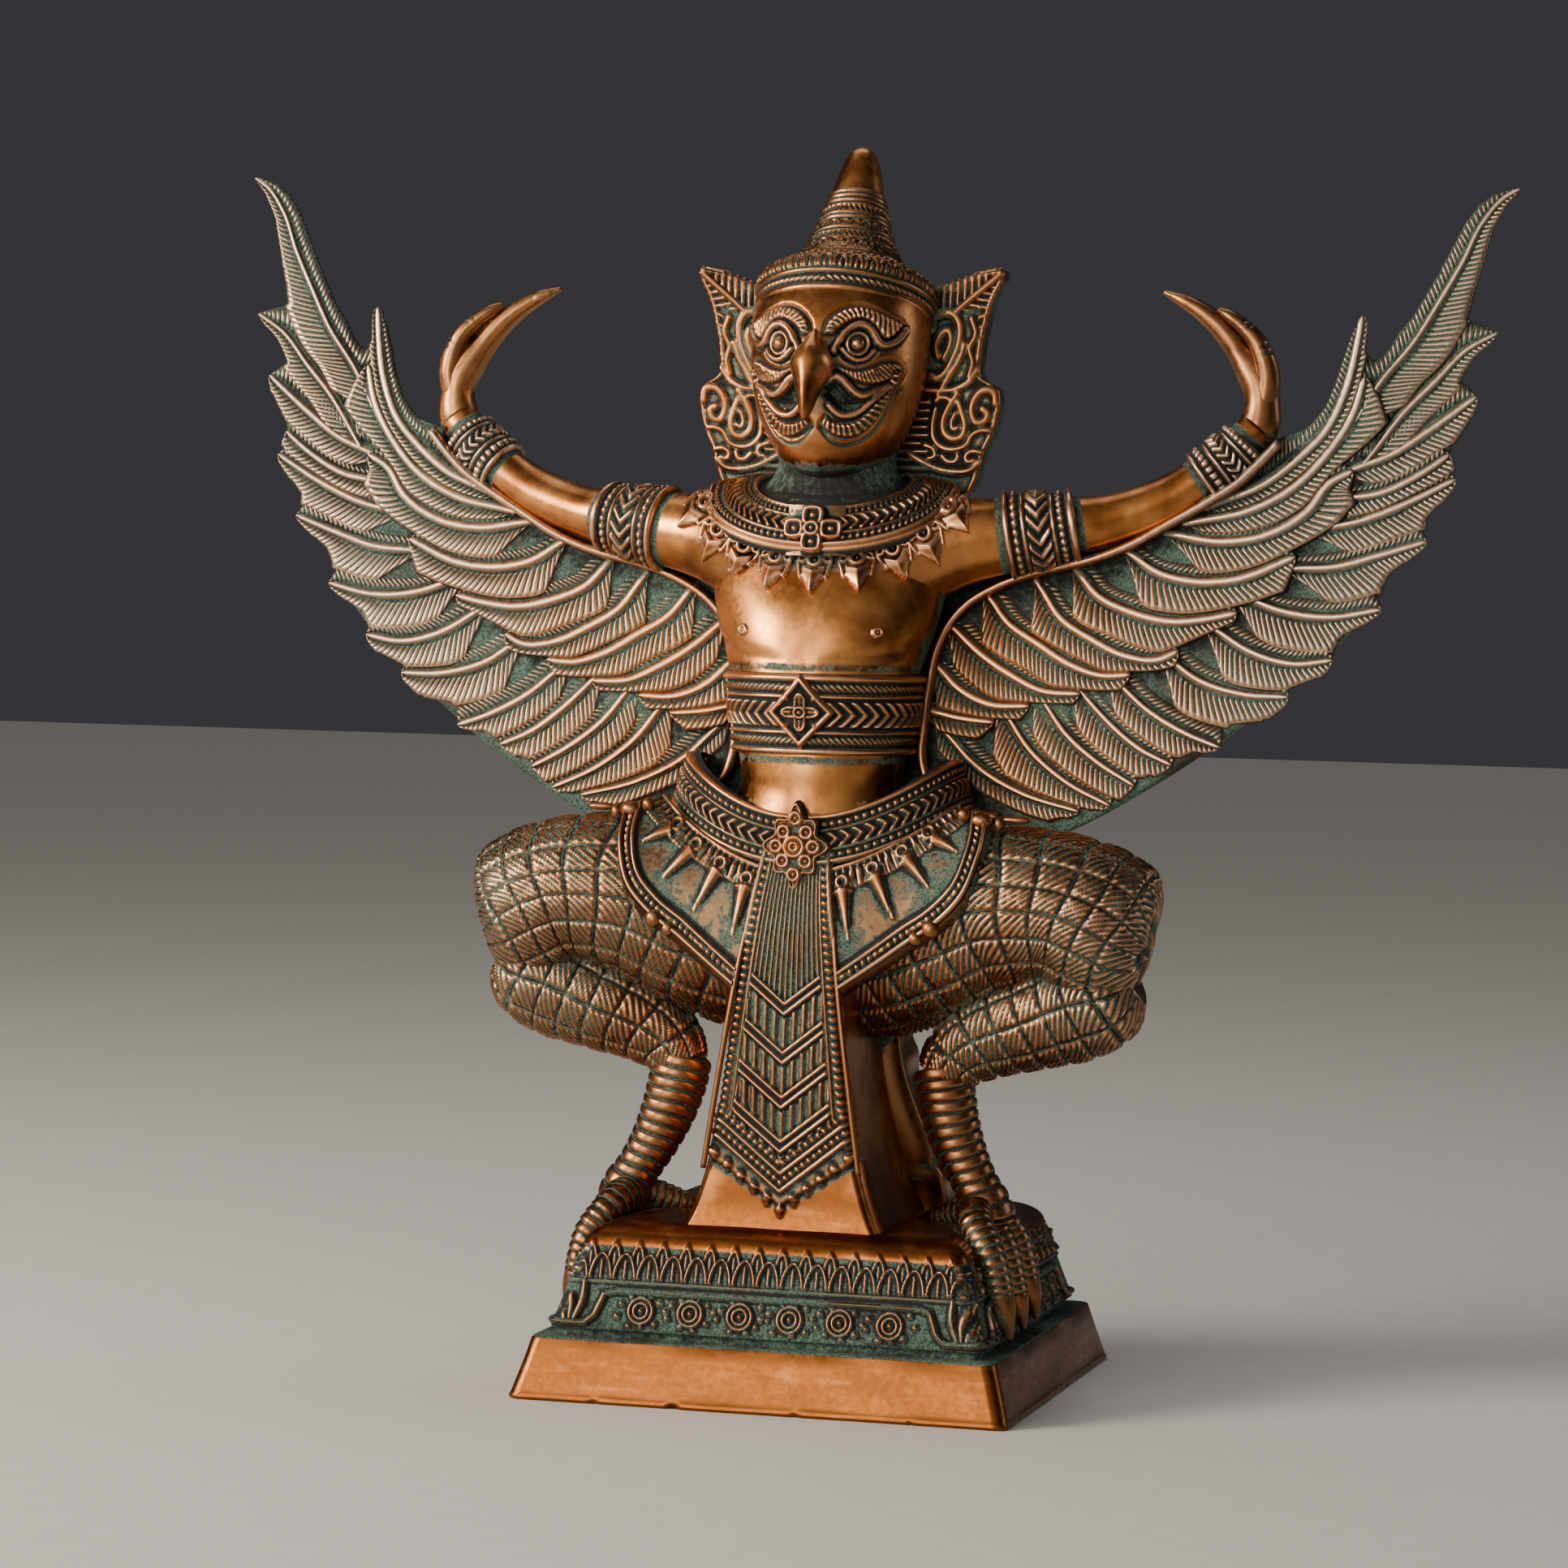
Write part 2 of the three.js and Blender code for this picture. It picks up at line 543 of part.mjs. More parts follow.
// The right-hand arm, raised and curved up from the elbow. Its armband and bracelet are part of its
// profile: raised rails with a lower ground between them.
const armLine = [
  [28, -2, 300, 19, 17], [46, 0, 308, 16.5, 16], [64, 4, 311, 14.5, 14.5], [84, 8, 311, 13.3, 13.3],
  [105, 10, 315, 11.6, 11.6],
  [124, 13, 324.5, 10.6, 10.6], [139, 16, 337, 9.8, 9.8], [149, 19, 350, 9.4, 9.4],
];
const armRings = [
  [0, 0], [0.225, 0], [0.23, 2.8], [0.265, 2.8], [0.275, 1.2], [0.355, 1.2], [0.365, 2.8], [0.4, 2.8],
  [0.405, 0],
  [0.56, 0], [0.72, 0], [0.725, 1.9], [0.765, 1.9], [0.775, 0.9], [0.86, 0.9], [0.87, 1.9], [0.91, 1.9],
  [0.915, 0], [1, 0],
];

function arm() {
  const line = new THREE.CatmullRomCurve3(armLine.map(([x, y, z]) => new THREE.Vector3(x, y, z)));
  const last = armLine.length - 1;
  const stations = armRings.map(([t, proud]) => {
    const k = Math.min(Math.floor(t * last), last - 1);
    const radius = lerp(armLine[k][3], armLine[k + 1][3], t * last - k) + proud;
    return [...line.getPoint(t).toArray(), radius, radius];
  });
  return [limb(stations, { sides: 6, straight: true })];
}

function hand() {
  const flat = { sides: 6, steps: 5 };
  return [
    limb([
      [148, 18, 344, 9, 9], [151, 20, 356, 10, 9], [149, 22, 368, 10, 8], [142.5, 25, 379, 7.5, 7],
      [133.5, 28, 387.5, 5.4, 6],
      [124, 30, 393, 4.3, 5], [116, 31.5, 397, 3, 4], [111.5, 32, 398.6, 1.2, 2],
    ], flat),
    limb([
      [153, 16, 361, 5, 5], [154.5, 17, 373, 4.8, 4.8], [150, 19, 382, 4.4, 4.6], [143, 21, 389, 3.8, 4.2],
      [137.5, 22, 392, 1.8, 2.2],
    ], { sides: 5, steps: 3 }),
  ];
}

// Wings. Feathers fan out between a root line and a tip line, each bending upwards towards its tip.
const wingLean = 0.17;
const wingPlane = (z) => -2 + wingLean * (z - 210);
const flatCurve = (list) => new THREE.CatmullRomCurve3(list.map(([x, z]) => new THREE.Vector3(x, 0, z)));

// The spread feathers as one closed sheet. Each feather is two columns: a valley beside its shaft and
// a ridge along it. A column runs from the wing's root to the tip of a covert, steps down off it, and
// runs on along a flight feather to the wing's scalloped edge.
function feathers() {
  const roots = flatCurve([[158, 352], [136, 326], [98, 309], [62, 302], [34, 286], [24, 250], [26, 214]]);
  const steps = flatCurve([[190, 350], [182, 325], [155, 290], [118, 262], [80, 245], [52, 236]]);
  const tips = flatCurve([[231.3, 359.7], [222, 330], [201, 291], [162, 249], [126, 222.5], [97.3, 211.5]]);
  const run = (from, to, bend, short) => {
    const chord = to.clone().sub(from);
    const end = to.clone().addScaledVector(chord, -short / chord.length());
    const middle = from.clone().lerp(end, 0.5);
    middle.addScaledVector(new THREE.Vector3(chord.z, 0, -chord.x), 2 * bend);
    return new THREE.QuadraticBezierCurve3(from, middle, end);
  };
  const column = (place, ridge, short, shift, sink = 0) => {
    const share = THREE.MathUtils.clamp(place / (FEATHER_COUNT - 1), 0, 1);
    const [root, step, tip] = [roots, steps, tips].map((line) => line.getPointAt(share));
    tip.add(new THREE.Vector3(shift * 0.5, 0, shift));
    [root, step].forEach((spot) => { spot.z -= sink; });
    const covert = run(root, step, 0.1, short);
    const flight = run(step, tip, 0.06, short);
    const thin = (t) => lerp(WING_THICKNESS, WING_EDGE, t) / 2;
    const crest = ridge * WING_RELIEF;
    const set = (spot, y) => at(spot.x, wingPlane(spot.z) + y, spot.z);
    const layer = WING_LAYER + thin(0);
    return [
      set(covert.getPoint(0), -layer),
      set(covert.getPoint(0.55), -layer - crest),
      set(covert.getPoint(1), -layer - crest * 0.6),
      set(flight.getPoint(0.03), -thin(0) - crest * 0.5),
      set(flight.getPoint(0.55), -thin(0.55) - crest),
      set(flight.getPoint(1), -thin(1)),
      set(flight.getPoint(1), thin(1)),
      set(covert.getPoint(0), WING_THICKNESS),
    ];
  };
  const columns = [];
  for (let i = 0; i < FEATHER_COUNT; i += 1) {
    columns.push(column(i - 0.66, 0, i ? 6.5 : 4, i ? 0 : 4));
    columns.push(column(i, 1, 0, 0));
  }
  columns.push(column(FEATHER_COUNT - 1, 0, 6, -5));
  columns.push(column(FEATHER_COUNT - 1, 0, 8, -16, 26));
  return skin(columns);
}

// One long free feather at the wing's tip: an oval blade along a bent line, ridged along its shaft.
function tipFeather(stations, forward = 0) {
  const line = new THREE.CatmullRomCurve3(stations.map(([x, z]) => new THREE.Vector3(x, 0, z)));
  const last = stations.length - 1;
  return skin(stations.map(([, , wide], k) => {
    const centre = line.getPoint(k / last);
    const along = line.getTangent(k / last);
    const aside = new THREE.Vector3(along.z, 0, -along.x);
    const spot = (u, y) => {
      const p = centre.clone().addScaledVector(aside, u * wide);
      return at(p.x, wingPlane(p.z) + forward + y, p.z);
    };
    const rib = Math.min(WING_RELIEF, wide * 0.4);
    const half = Math.min(WING_EDGE, wide) / 2;
    return [spot(-1, 0), spot(0, -half - rib), spot(1, 0), spot(0, half + rib * 0.4)];
  }));
}

const rimLine = [
  [160, 351], [146, 331.6], [131.9, 319.4], [108, 304], [85.1, 293.5], [66, 288.5], [53, 282], [46, 271],
  [43, 255], [42, 236], [47, 210],
];

function wing() {
  const rim = limb(rimLine.map(([x, z]) => [x, wingPlane(z) - 4, z, 3.2, 4.5]), { sides: 4, steps: 9 });
  return [
    feathers(), rim,
    tipFeather([
      [172, 333, 10], [191, 352, 12], [200, 374, 12.5], [209, 398, 10], [221, 421, 7.6], [230, 433, 5],
      [240.8, 440.8, 0.8],
    ]),
    tipFeather([[186, 330, 10], [203, 350, 10], [217, 371, 10], [228, 386, 7], [237.4, 396.6, 0.8]], 0.8),
    tipFeather([[158, 330, 6], [170, 343, 9], [179, 360, 9], [184.5, 378, 6.5], [187.4, 393.5, 0.9]], -2),
  ];
}

// The whole casting: the pieces on the middle plane, and the ones on each side with their mirror images.
const middle = [plinthBody(), lotusFrieze(), ...plinthCarving(), ...torso(), ...postAndTail(),
  ...loinclothCarving(), ...girdle(), ...collar(), ...flowers(), ...head(), ...crown()];
const sided = [...leg(), ...apron(), ...faceSide(), ...ear(), ...arm(), ...hand(), ...wing()];
const castings = [...middle, ...sided, ...sided.map(mirrored)].map(solid);
const whole = castings.reduce((sum, piece) => sum.add(piece));

function meshOf(name, shape, material) {
  const { vertProperties, triVerts } = shape.getMesh();
  const geometry = new THREE.BufferGeometry();
  geometry.setAttribute('position', new THREE.Float32BufferAttribute(vertProperties, 3));
  geometry.setIndex(new THREE.Uint32BufferAttribute(triVerts, 1));
  const mesh = new THREE.Mesh(geometry, material);
  mesh.name = name;
  return mesh;
}

const agedBrass = new THREE.MeshStandardMaterial({ color: 0x8a5230, metalness: 0.9, roughness: 0.4 });
const garuda = new THREE.Group();
garuda.add(meshOf('garuda_figure', whole, agedBrass));

export default garuda;
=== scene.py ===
# A cast brass garuda: the detailed figure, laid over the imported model.
#
# Lengths are in millimetres until a mesh is made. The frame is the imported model's own: the origin is
# the centre of the plinth's underside, +Z is up and the figure faces -Y.

import math

import bpy
import numpy as np
from bpy.props import FloatProperty, IntProperty, PointerProperty, StringProperty
from mathutils import Matrix, Vector


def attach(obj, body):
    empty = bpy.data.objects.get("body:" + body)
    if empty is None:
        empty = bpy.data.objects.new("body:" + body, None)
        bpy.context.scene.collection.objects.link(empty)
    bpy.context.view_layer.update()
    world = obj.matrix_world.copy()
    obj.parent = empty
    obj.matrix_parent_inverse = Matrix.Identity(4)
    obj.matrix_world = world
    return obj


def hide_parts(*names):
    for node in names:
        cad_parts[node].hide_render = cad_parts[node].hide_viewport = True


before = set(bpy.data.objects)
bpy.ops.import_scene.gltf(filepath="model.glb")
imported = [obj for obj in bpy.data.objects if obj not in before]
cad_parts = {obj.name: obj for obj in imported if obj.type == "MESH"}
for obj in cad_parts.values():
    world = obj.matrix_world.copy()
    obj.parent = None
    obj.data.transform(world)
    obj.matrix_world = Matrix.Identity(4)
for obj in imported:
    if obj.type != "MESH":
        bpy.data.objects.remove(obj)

bl_info = {
    "name": "Cast garuda figure",
    "version": (1, 0, 0),
    "blender": (4, 5, 0),
    "location": "3D View > Sidebar > Garuda",
    "description": "Builds a chased brass garuda on its plinth, piece by piece",
    "category": "Add Mesh",
}

MM = 0.001
NODE = "garuda_figure"
PIECES = []


# Lines and surfaces


def run_of(line):
    """How far along a line each of its points lies."""
    steps = np.linalg.norm(np.diff(np.asarray(line, float), axis=0), axis=1)
    return np.concatenate([[0.0], np.cumsum(steps)])


def length_of(line):
    return float(run_of(line)[-1])


def hermite(p, slope, i, h, u):
    """Points on smooth curves, at a share u of the step h from row i of p to the next."""
    start = (2 * u**3 - 3 * u**2 + 1) * p[i] + (u**3 - 2 * u**2 + u) * h * slope[i]
    return start + (3 * u**2 - 2 * u**3) * p[i + 1] + (u**3 - u**2) * h * slope[i + 1]


def spline(points, count, dims=3):
    """Evenly spaced points on a smooth line through the given ones. The columns after dims ride along."""
    p = np.asarray(points, float)
    d = run_of(p[:, :dims])
    slope = np.gradient(p, d, axis=0)
    t = np.linspace(0, d[-1], count * 5)
    i = np.clip(np.searchsorted(d, t, side="right") - 1, 0, len(d) - 2)
    h = (d[i + 1] - d[i])[:, None]
    u = (t - d[i])[:, None] / h
    q = hermite(p, slope, i, h, u)
    run = run_of(q[:, :dims])
    at = np.linspace(0, run[-1], count)
    return np.stack([np.interp(at, run, column) for column in q.T], axis=1)


def unit(v):
    return v / np.maximum(np.linalg.norm(v, axis=-1, keepdims=True), 1e-9)


def even(low, high, step):
    return np.linspace(low, high, max(int(round((high - low) / step)) + 1, 2))


def circle(count):
    """Even turns round a body, in radians from its front."""
    return np.arange(count) * 2 * np.pi / count


def turns(front, back, step_front, radius):
    """Turns round a body, close together over the front and wide apart behind, in radians from the front."""
    close = even(-front, front, step_front / radius)
    wide = np.linspace(front, 2 * np.pi - front, back + 2)[1:-1]
    return np.concatenate([close, wide])


def signed(turn):
    """The same turn, counted from the front both ways."""
    return (turn + np.pi) % (2 * np.pi) - np.pi


def window_mean(values, reach, axis, mode):
    """The mean over so many cells to either side, along one axis."""
    margins = [(reach, reach) if k == axis else (0, 0) for k in range(values.ndim)]
    total = np.cumsum(np.pad(values, margins, mode=mode), axis=axis)
    total = np.concatenate([np.take(total, [0], axis=axis) * 0, total], axis=axis)
    at = np.arange(values.shape[axis])
    return (np.take(total, at + 2 * reach + 1, axis=axis) - np.take(total, at, axis=axis)) / (2 * reach + 1)


def normals(grid, wrap):
    across = np.roll(grid, -1, axis=1) - np.roll(grid, 1, axis=1) if wrap else np.gradient(grid, axis=1)
    return unit(np.cross(np.gradient(grid, axis=0), across))


def turned_out(grid, wrap, facing):
    """+1 where the grid's own normals point out of the casting, and -1 where they point in."""
    n = normals(grid, wrap)
    if wrap:
        centre = grid.mean(axis=1, keepdims=True)
        return 1.0 if ((grid - centre) * n).sum() > 0 else -1.0
    return 1.0 if (n * np.asarray(facing, float)).sum() > 0 else -1.0


class Casting:
    """One piece while it is being built, as patches of points, each with its relief."""

    def __init__(self):
        self.points, self.quads, self.tris = [], [], []
        self.relief, self.carved = [], []
        self.count = 0

    def patch(
        self, grid, height=0.0, carved=1.0, wrap=False, ends=False, facing=(0, -1, 0), reach=1.8,
        relief=None, stain=0.0,
    ):
        """Adds a grid of points, raised by a height along its normals. How far each point stands above
        what is round it is kept for the patina, less a stain where more of it gathers."""
        rows, cols = grid.shape[:2]
        sign = turned_out(grid, wrap, facing)
        if not np.isscalar(height):
            grid_up = grid + normals(grid, wrap) * sign * height[..., None]
            around = height
            for axis, mode in ((0, "edge"), (1, "wrap" if wrap else "edge")):
                step = max(np.linalg.norm(np.diff(grid, axis=axis), axis=-1).mean(), 0.05)
                around = window_mean(around, int(max(1, round(reach / step))), axis, mode)
            stand = height - around
        else:
            grid_up, stand = grid, np.zeros((rows, cols))
        stand = (stand if relief is None else np.broadcast_to(relief, (rows, cols))) - stain
        index = np.arange(rows * cols).reshape(rows, cols) + self.count
        loop = np.concatenate([index, index[:, :1]], axis=1) if wrap else index
        quads = np.stack([loop[:-1, :-1], loop[1:, :-1], loop[1:, 1:], loop[:-1, 1:]], axis=-1).reshape(-1, 4)
        self.quads.append(quads if sign > 0 else quads[:, ::-1])
        self.points.append(grid_up.reshape(-1, 3))
        self.relief.append(stand.ravel())
        self.carved.append(np.broadcast_to(np.asarray(carved, float), (rows, cols)).ravel())
        self.count += rows * cols
        if ends:
            for row, way in ((0, 1), (rows - 1, -1)):
                ring = loop[row]
                tris = np.stack([np.full(len(ring) - 1, self.count), ring[:-1], ring[1:]], axis=-1)
                self.tris.append(tris if sign * way > 0 else tris[:, ::-1])
                self.points.append(grid_up[row].mean(axis=0)[None])
                self.relief.append([stand[row].mean()])
                self.carved.append([float(np.mean(self.carved[-1]))])
                self.count += 1

    def mirror(self, warp=None):
        """Adds the mirror image of all that is there, across the figure's middle plane. A warp moves the
        image's points."""
        points = np.concatenate(self.points) * [-1, 1, 1]
        if warp:
            points = warp(points)
        self.quads += [q[:, ::-1] + self.count for q in self.quads]
        self.tris += [t[:, ::-1] + self.count for t in self.tris]
        self.points.append(points)
        self.relief.append(np.concatenate([np.ravel(r) for r in self.relief]))
        self.carved.append(np.concatenate([np.ravel(c) for c in self.carved]))
        self.count += len(points)

    def make(self, name):
        """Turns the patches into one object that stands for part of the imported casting."""
        points = np.concatenate(self.points) * MM
        quads = np.concatenate(self.quads)
        tris = np.concatenate(self.tris or [np.zeros((0, 3), int)])
        mesh = bpy.data.meshes.new(name)
        mesh.vertices.add(len(points))
        mesh.vertices.foreach_set("co", points.astype(np.float32).ravel())
        loops = np.concatenate([quads.ravel(), tris.ravel()]).astype(np.int32)
        mesh.loops.add(len(loops))
        mesh.loops.foreach_set("vertex_index", loops)
        starts = np.concatenate([np.arange(len(quads)) * 4, len(quads) * 4 + np.arange(len(tris)) * 3])
        mesh.polygons.add(len(starts))
        mesh.polygons.foreach_set("loop_start", starts.astype(np.int32))
        mesh.polygons.foreach_set("use_smooth", np.ones(len(starts), bool))
        mesh.update(calc_edges=True)
        mesh.validate()
        for label, values in (("relief", self.relief), ("carved", self.carved)):
            layer = mesh.attributes.new(label, "FLOAT", "POINT")
            layer.data.foreach_set("value", np.concatenate([np.ravel(v) for v in values]).astype(np.float32))
        piece = bpy.data.objects.new(name, mesh)
        bpy.context.scene.collection.objects.link(piece)
        mesh.materials.append(aged_brass())
        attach(piece, "root")
        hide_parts(NODE)
        PIECES.append(piece)
        return piece


# Chasing: each gives a height in mm for a distance along a line (s) and across it (a)


def nearest(s, pitch):
    """The distance from the nearest of marks that lie a pitch apart."""
    return (s / pitch - np.round(s / pitch)) * pitch


def hump(d, half):
    """A soft hump, 1 in its middle."""
    return np.exp(-((d / half) ** 2))


def swell(a, half, height):
    """A round ridge, or with a distance from a point a round button."""
    return height * np.sqrt(np.clip(1 - (a / half) ** 2, 0, 1))


def beads(s, a, pitch, radius, height):
    return swell(np.hypot(nearest(s, pitch), a), radius, height)


def tube(line, wide, deep, sides, squareness=1.0):
    """Oval sections round a line of points. Returns the grid and the turn, which is 0 on the side that
    faces -Y and grows towards the right of the line."""
    along = unit(np.gradient(line, axis=0))
    aside = unit(np.cross([0.0, 1.0, 0.0], along))
    inward = unit(np.cross(along, aside))
    turn = circle(sides)
    c, s = np.sin(turn), -np.cos(turn)
    c = np.sign(c) * np.abs(c) ** squareness
    s = np.sign(s) * np.abs(s) ** squareness
    wide = np.broadcast_to(wide, len(line))[:, None, None]
    deep = np.broadcast_to(deep, len(line))[:, None, None]
    grid = line[:, None] + aside[:, None] * c[None, :, None] * wide
    grid = grid + inward[:, None] * s[None, :, None] * deep
    return grid, np.broadcast_to(turn[None], grid.shape[:2])


# Materials


def linear(hex_code):
    """A linear colour from an sRGB hex code."""
    parts = [int(hex_code[i : i + 2], 16) / 255 for i in (1, 3, 5)]
    return tuple(c / 12.92 if c <= 0.04045 else ((c + 0.055) / 1.055) ** 2.4 for c in parts) + (1.0,)


def add(tree, kind, *values, out=None, into=None, **settings):
    """Adds a node with its settings and links, and returns one of its outputs. The values go into its
    inputs in turn, or into the named ones: a number, a colour, or another node's output."""
    node = tree.nodes.new("ShaderNode" + kind)
    for key, value in settings.items():
        setattr(node, key, value)
    enabled = [socket for socket in node.inputs if socket.enabled]
    sockets = [node.inputs[name] for name in into] if into else enabled
    for socket, value in zip(sockets, values):
        if isinstance(value, bpy.types.NodeSocket):
            tree.links.new(value, socket)
        else:
            socket.default_value = value
    shown = [socket for socket in node.outputs if socket.enabled]
    return node.outputs[out] if out else (shown or [None])[0]


# The first makes a map range node a smooth step between two levels, the second lets a mix node blend colours.
STEP = {"interpolation_type": "SMOOTHSTEP"}
BLEND = {"data_type": "RGBA"}


def aged_brass():
    """Brass, lost-wax cast, chemically browned and rubbed back by hand: copper tones wherever the cloth
    reached, brown on the flats between, near-black in the cuts and blue-green verdigris in the hollows.
    Corners crowded by other metal get painted shade mixed with that patina, and chasing far from the
    middle gets a paler painted sheen."""
    made = bpy.data.materials.get("brass_aged")
    if made:
        return made
    finish = bpy.context.scene.garuda_finish
    tones = {key: linear(getattr(finish, key)) for key in GarudaFinish.__annotations__}
    mat = bpy.data.materials.new("brass_aged")
    mat.use_nodes = True
    tree = mat.node_tree
    tree.nodes.clear()
    place = add(tree, "TexCoord", out="Object")
    # The crowding of other metal round each point, which the material paints as shade and patina in corners.
    relief, crowd_shade, carved = (
        add(tree, "Attribute", attribute_name=name, out="Fac") for name in ("relief", "crowd_shade", "carved")
    )
    # Sizes in mm: clouds of tone where the browning took unevenly, the length and height of the level
    # rubbing marks, the grain of the worn metal, and the grit in the verdigris.
    cloud, rub_long, rub_high, grain, speck = 29.4, 16.7, 2.38, 2.38, 0.6667
    long, high = 1 / (rub_long * MM), 1 / (rub_high * MM)
    clouds = add(tree, "TexNoise", place, 1 / (cloud * MM), 3.0, 0.55)
    streaks_at = add(tree, "Mapping", place, (long, long, high), into=("Vector", "Scale"))
    streaks = add(tree, "TexNoise", streaks_at, 1.0, 4.0)
    fine = add(tree, "TexNoise", place, 1 / (grain * MM), 4.0, 0.6)
    grit = add(tree, "TexNoise", place, 1 / (speck * MM), 2.0)
    uneven = add(tree, "Math", add(tree, "Math", fine, 0.5, operation="SUBTRACT"), 0.5, operation="MULTIPLY")
    across, upward = (add(tree, "SeparateXYZ", place, out=name) for name in "XZ")

    # Open polished skin: amber-brown, darker in clouds and lightly streaked along the rubbing. It grows
    # darker towards the bottom, below about 120 mm.
    foot = add(tree, "MapRange", upward, 0.02, 0.12, -0.34, 0.0, **STEP)
    lighter_share = add(tree, "MapRange", add(tree, "Math", clouds, foot), 0.32, 0.6, **STEP)
    skin = add(tree, "Mix", lighter_share, tones["browned"], tones["polished"], **BLEND)
    rubbing = add(tree, "MapRange", streaks, 0.5, 0.85, 0.0, 0.25, **STEP)
    skin = add(tree, "Mix", rubbing, skin, tones["rubbed"], **BLEND)
    # Chased metal: brown beside the cuts, copper on the flats and pale along the highest edges, partly
    # rubbed wear and partly a painted highlight. Further from the middle, out to the wing tips, the chasing
    # is painted paler still, a painted sheen in place of reflected light.
    worn = add(tree, "Math", relief, uneven)
    # Painted sheen: the further from the middle, out to the wing tips, the paler the chasing is painted.
    outer = add(tree, "MapRange", add(tree, "Math", across, operation="ABSOLUTE"), 0.04, 0.2, **STEP)
    copper = add(tree, "Mix", outer, tones["copper"], tones["copper_pale"], **BLEND)
    ridge = add(tree, "Mix", outer, tones["ridge"], tones["ridge_pale"], **BLEND)
    chased = add(tree, "Mix", add(tree, "MapRange", worn, -0.3, 0.1, **STEP), tones["shade"], copper, **BLEND)
    chased = add(tree, "Mix", add(tree, "MapRange", worn, 0.2, 0.8, **STEP), chased, ridge, **BLEND)

    # Patina where the surface lies below what is round it. In corners that other metal crowds, it is partly
    # patina and partly painted shade.
    patches = add(tree, "Math", clouds, 0.5, operation="SUBTRACT")
    patches = add(tree, "Math", patches, 0.6, operation="MULTIPLY")
    patchy = add(tree, "Math", uneven, patches)
    sunk = add(tree, "Math", patchy, relief, operation="SUBTRACT")
    hollow = add(tree, "Math", sunk, add(tree, "MapRange", crowd_shade, 0.3, 1.0, 0.0, 0.22, **STEP))
    # A thin grey-green film creeps from the hollows over the flats.
    creep = add(tree, "MapRange", hollow, -0.4, 0.08, 0.0, 0.36, **STEP)
    chased = add(tree, "Mix", creep, chased, tones["film"], **BLEND)
    metal = add(tree, "Mix", add(tree, "MapRange", carved, 0.15, 0.75, **STEP), skin, chased, **BLEND)
    deep = add(tree, "MapRange", hollow, 0.08, 0.3, **STEP)
    worked = add(tree, "MapRange", carved, 0.1, 0.6, **STEP)
    dirt_and_shade = add(tree, "Math", deep, worked, operation="MULTIPLY")
    # Painted shade, with some patina, in joints and corners that other metal crowds, broken by patches.
    corner_shade = add(tree, "Math", crowd_shade, add(tree, "Math", patchy, 0.8, operation="MULTIPLY"))
    corner_shade = add(tree, "MapRange", corner_shade, 0.82, 1.1, 0.0, 0.85, **STEP)
    dirt_and_shade = add(tree, "Math", dirt_and_shade, corner_shade, operation="MAXIMUM")
    powder = add(tree, "MapRange", grit, 0.36, 0.64, **STEP)
    green = add(tree, "Mix", powder, tones["verdigris"], tones["verdigris_pale"], **BLEND)
    # Deeper hollows go near-black and shallower ones green; where the crowding adds to a hollow, that
    # darkening is partly painted shade.
    shallow = add(tree, "Math", clouds, add(tree, "MapRange", hollow, 0.3, 0.75, 0.14, -0.2, **STEP))
    shallow = add(tree, "MapRange", shallow, 0.42, 0.66, **STEP)
    dirt = add(tree, "Mix", shallow, tones["recess"], green, **BLEND)
    colour = add(tree, "Mix", dirt_and_shade, metal, dirt, **BLEND)

    dull = add(tree, "MapRange", dirt_and_shade, 0.0, 1.0, 0.3, 0.82, **STEP)
    rough = add(tree, "Math", dull, add(tree, "MapRange", fine, 0.2, 0.8, -0.06, 0.1, **STEP))
    metallic = add(tree, "MapRange", dirt_and_shade, 0.1, 0.85, 1.0, 0.05, **STEP)
    # Tool marks and casting skin, a few hundredths of a millimetre deep.
    tooled, sandy = (add(tree, "Math", *pair, operation="MULTIPLY") for pair in ((fine, 0.6), (grit, 0.4)))
    marks = add(tree, "Math", tooled, sandy)
    bump = add(tree, "Bump", 0.3, 0.06 * MM, marks, into=("Strength", "Distance", "Height"))
    sockets = ("Base Color", "Metallic", "Roughness", "Normal")
    add(tree, "OutputMaterial", add(tree, "BsdfPrincipled", colour, metallic, rough, bump, into=sockets))
    return mat


# Wings


def wing_depth(z):
    """The wings lean back: the middle of a wing's thickness at a height."""
    return -2 + 0.17 * (z - 210)


# The wing's outline and the rib of each feather from root to tip, in the wing's own plane: (x, z).
WING_OUTLINE = [
    (150, 338), (159, 347.5), (165.5, 347.5), (171, 352), (175.5, 358.5), (178.5, 366.5), (181, 376.5),
    (184.5, 386), (187, 391), (189, 388.5), (188.8, 378.5), (192.3, 375.2), (195.5, 376.5), (199, 383),
    (205, 391), (211, 401.5), (216, 412), (220.5, 421.5), (225, 429), (231.7, 434.5), (242, 436.5),
    (236.6, 430.4), (232.5, 422.5), (230.5, 415), (229, 407), (227, 399), (225.4, 390.8), (230.8, 387.5),
    (236.6, 385), (232.7, 380), (228.5, 376.5), (225.3, 371.2), (223.8, 367.7), (228, 364.7), (230, 361),
    (228, 353.7), (224, 346.5), (221, 341), (222.6, 335.5), (224, 330.7), (221.9, 327.2), (218.5, 323),
    (214.9, 318.6), (215.1, 313), (214, 308), (209.3, 303.8), (202.7, 298.6), (200.6, 293), (199.5, 284.3),
    (195, 280.7), (186.4, 275.3), (183.6, 268), (180, 261.4), (169, 256), (167, 250), (160, 244.3),
    (149, 242), (143, 233.5), (135, 232), (127, 227.5), (122.4, 224.3), (113, 219.4), (108.4, 214.2),
    (102, 210.7), (95, 209.8), (70, 200), (20, 200), (20, 290),
]
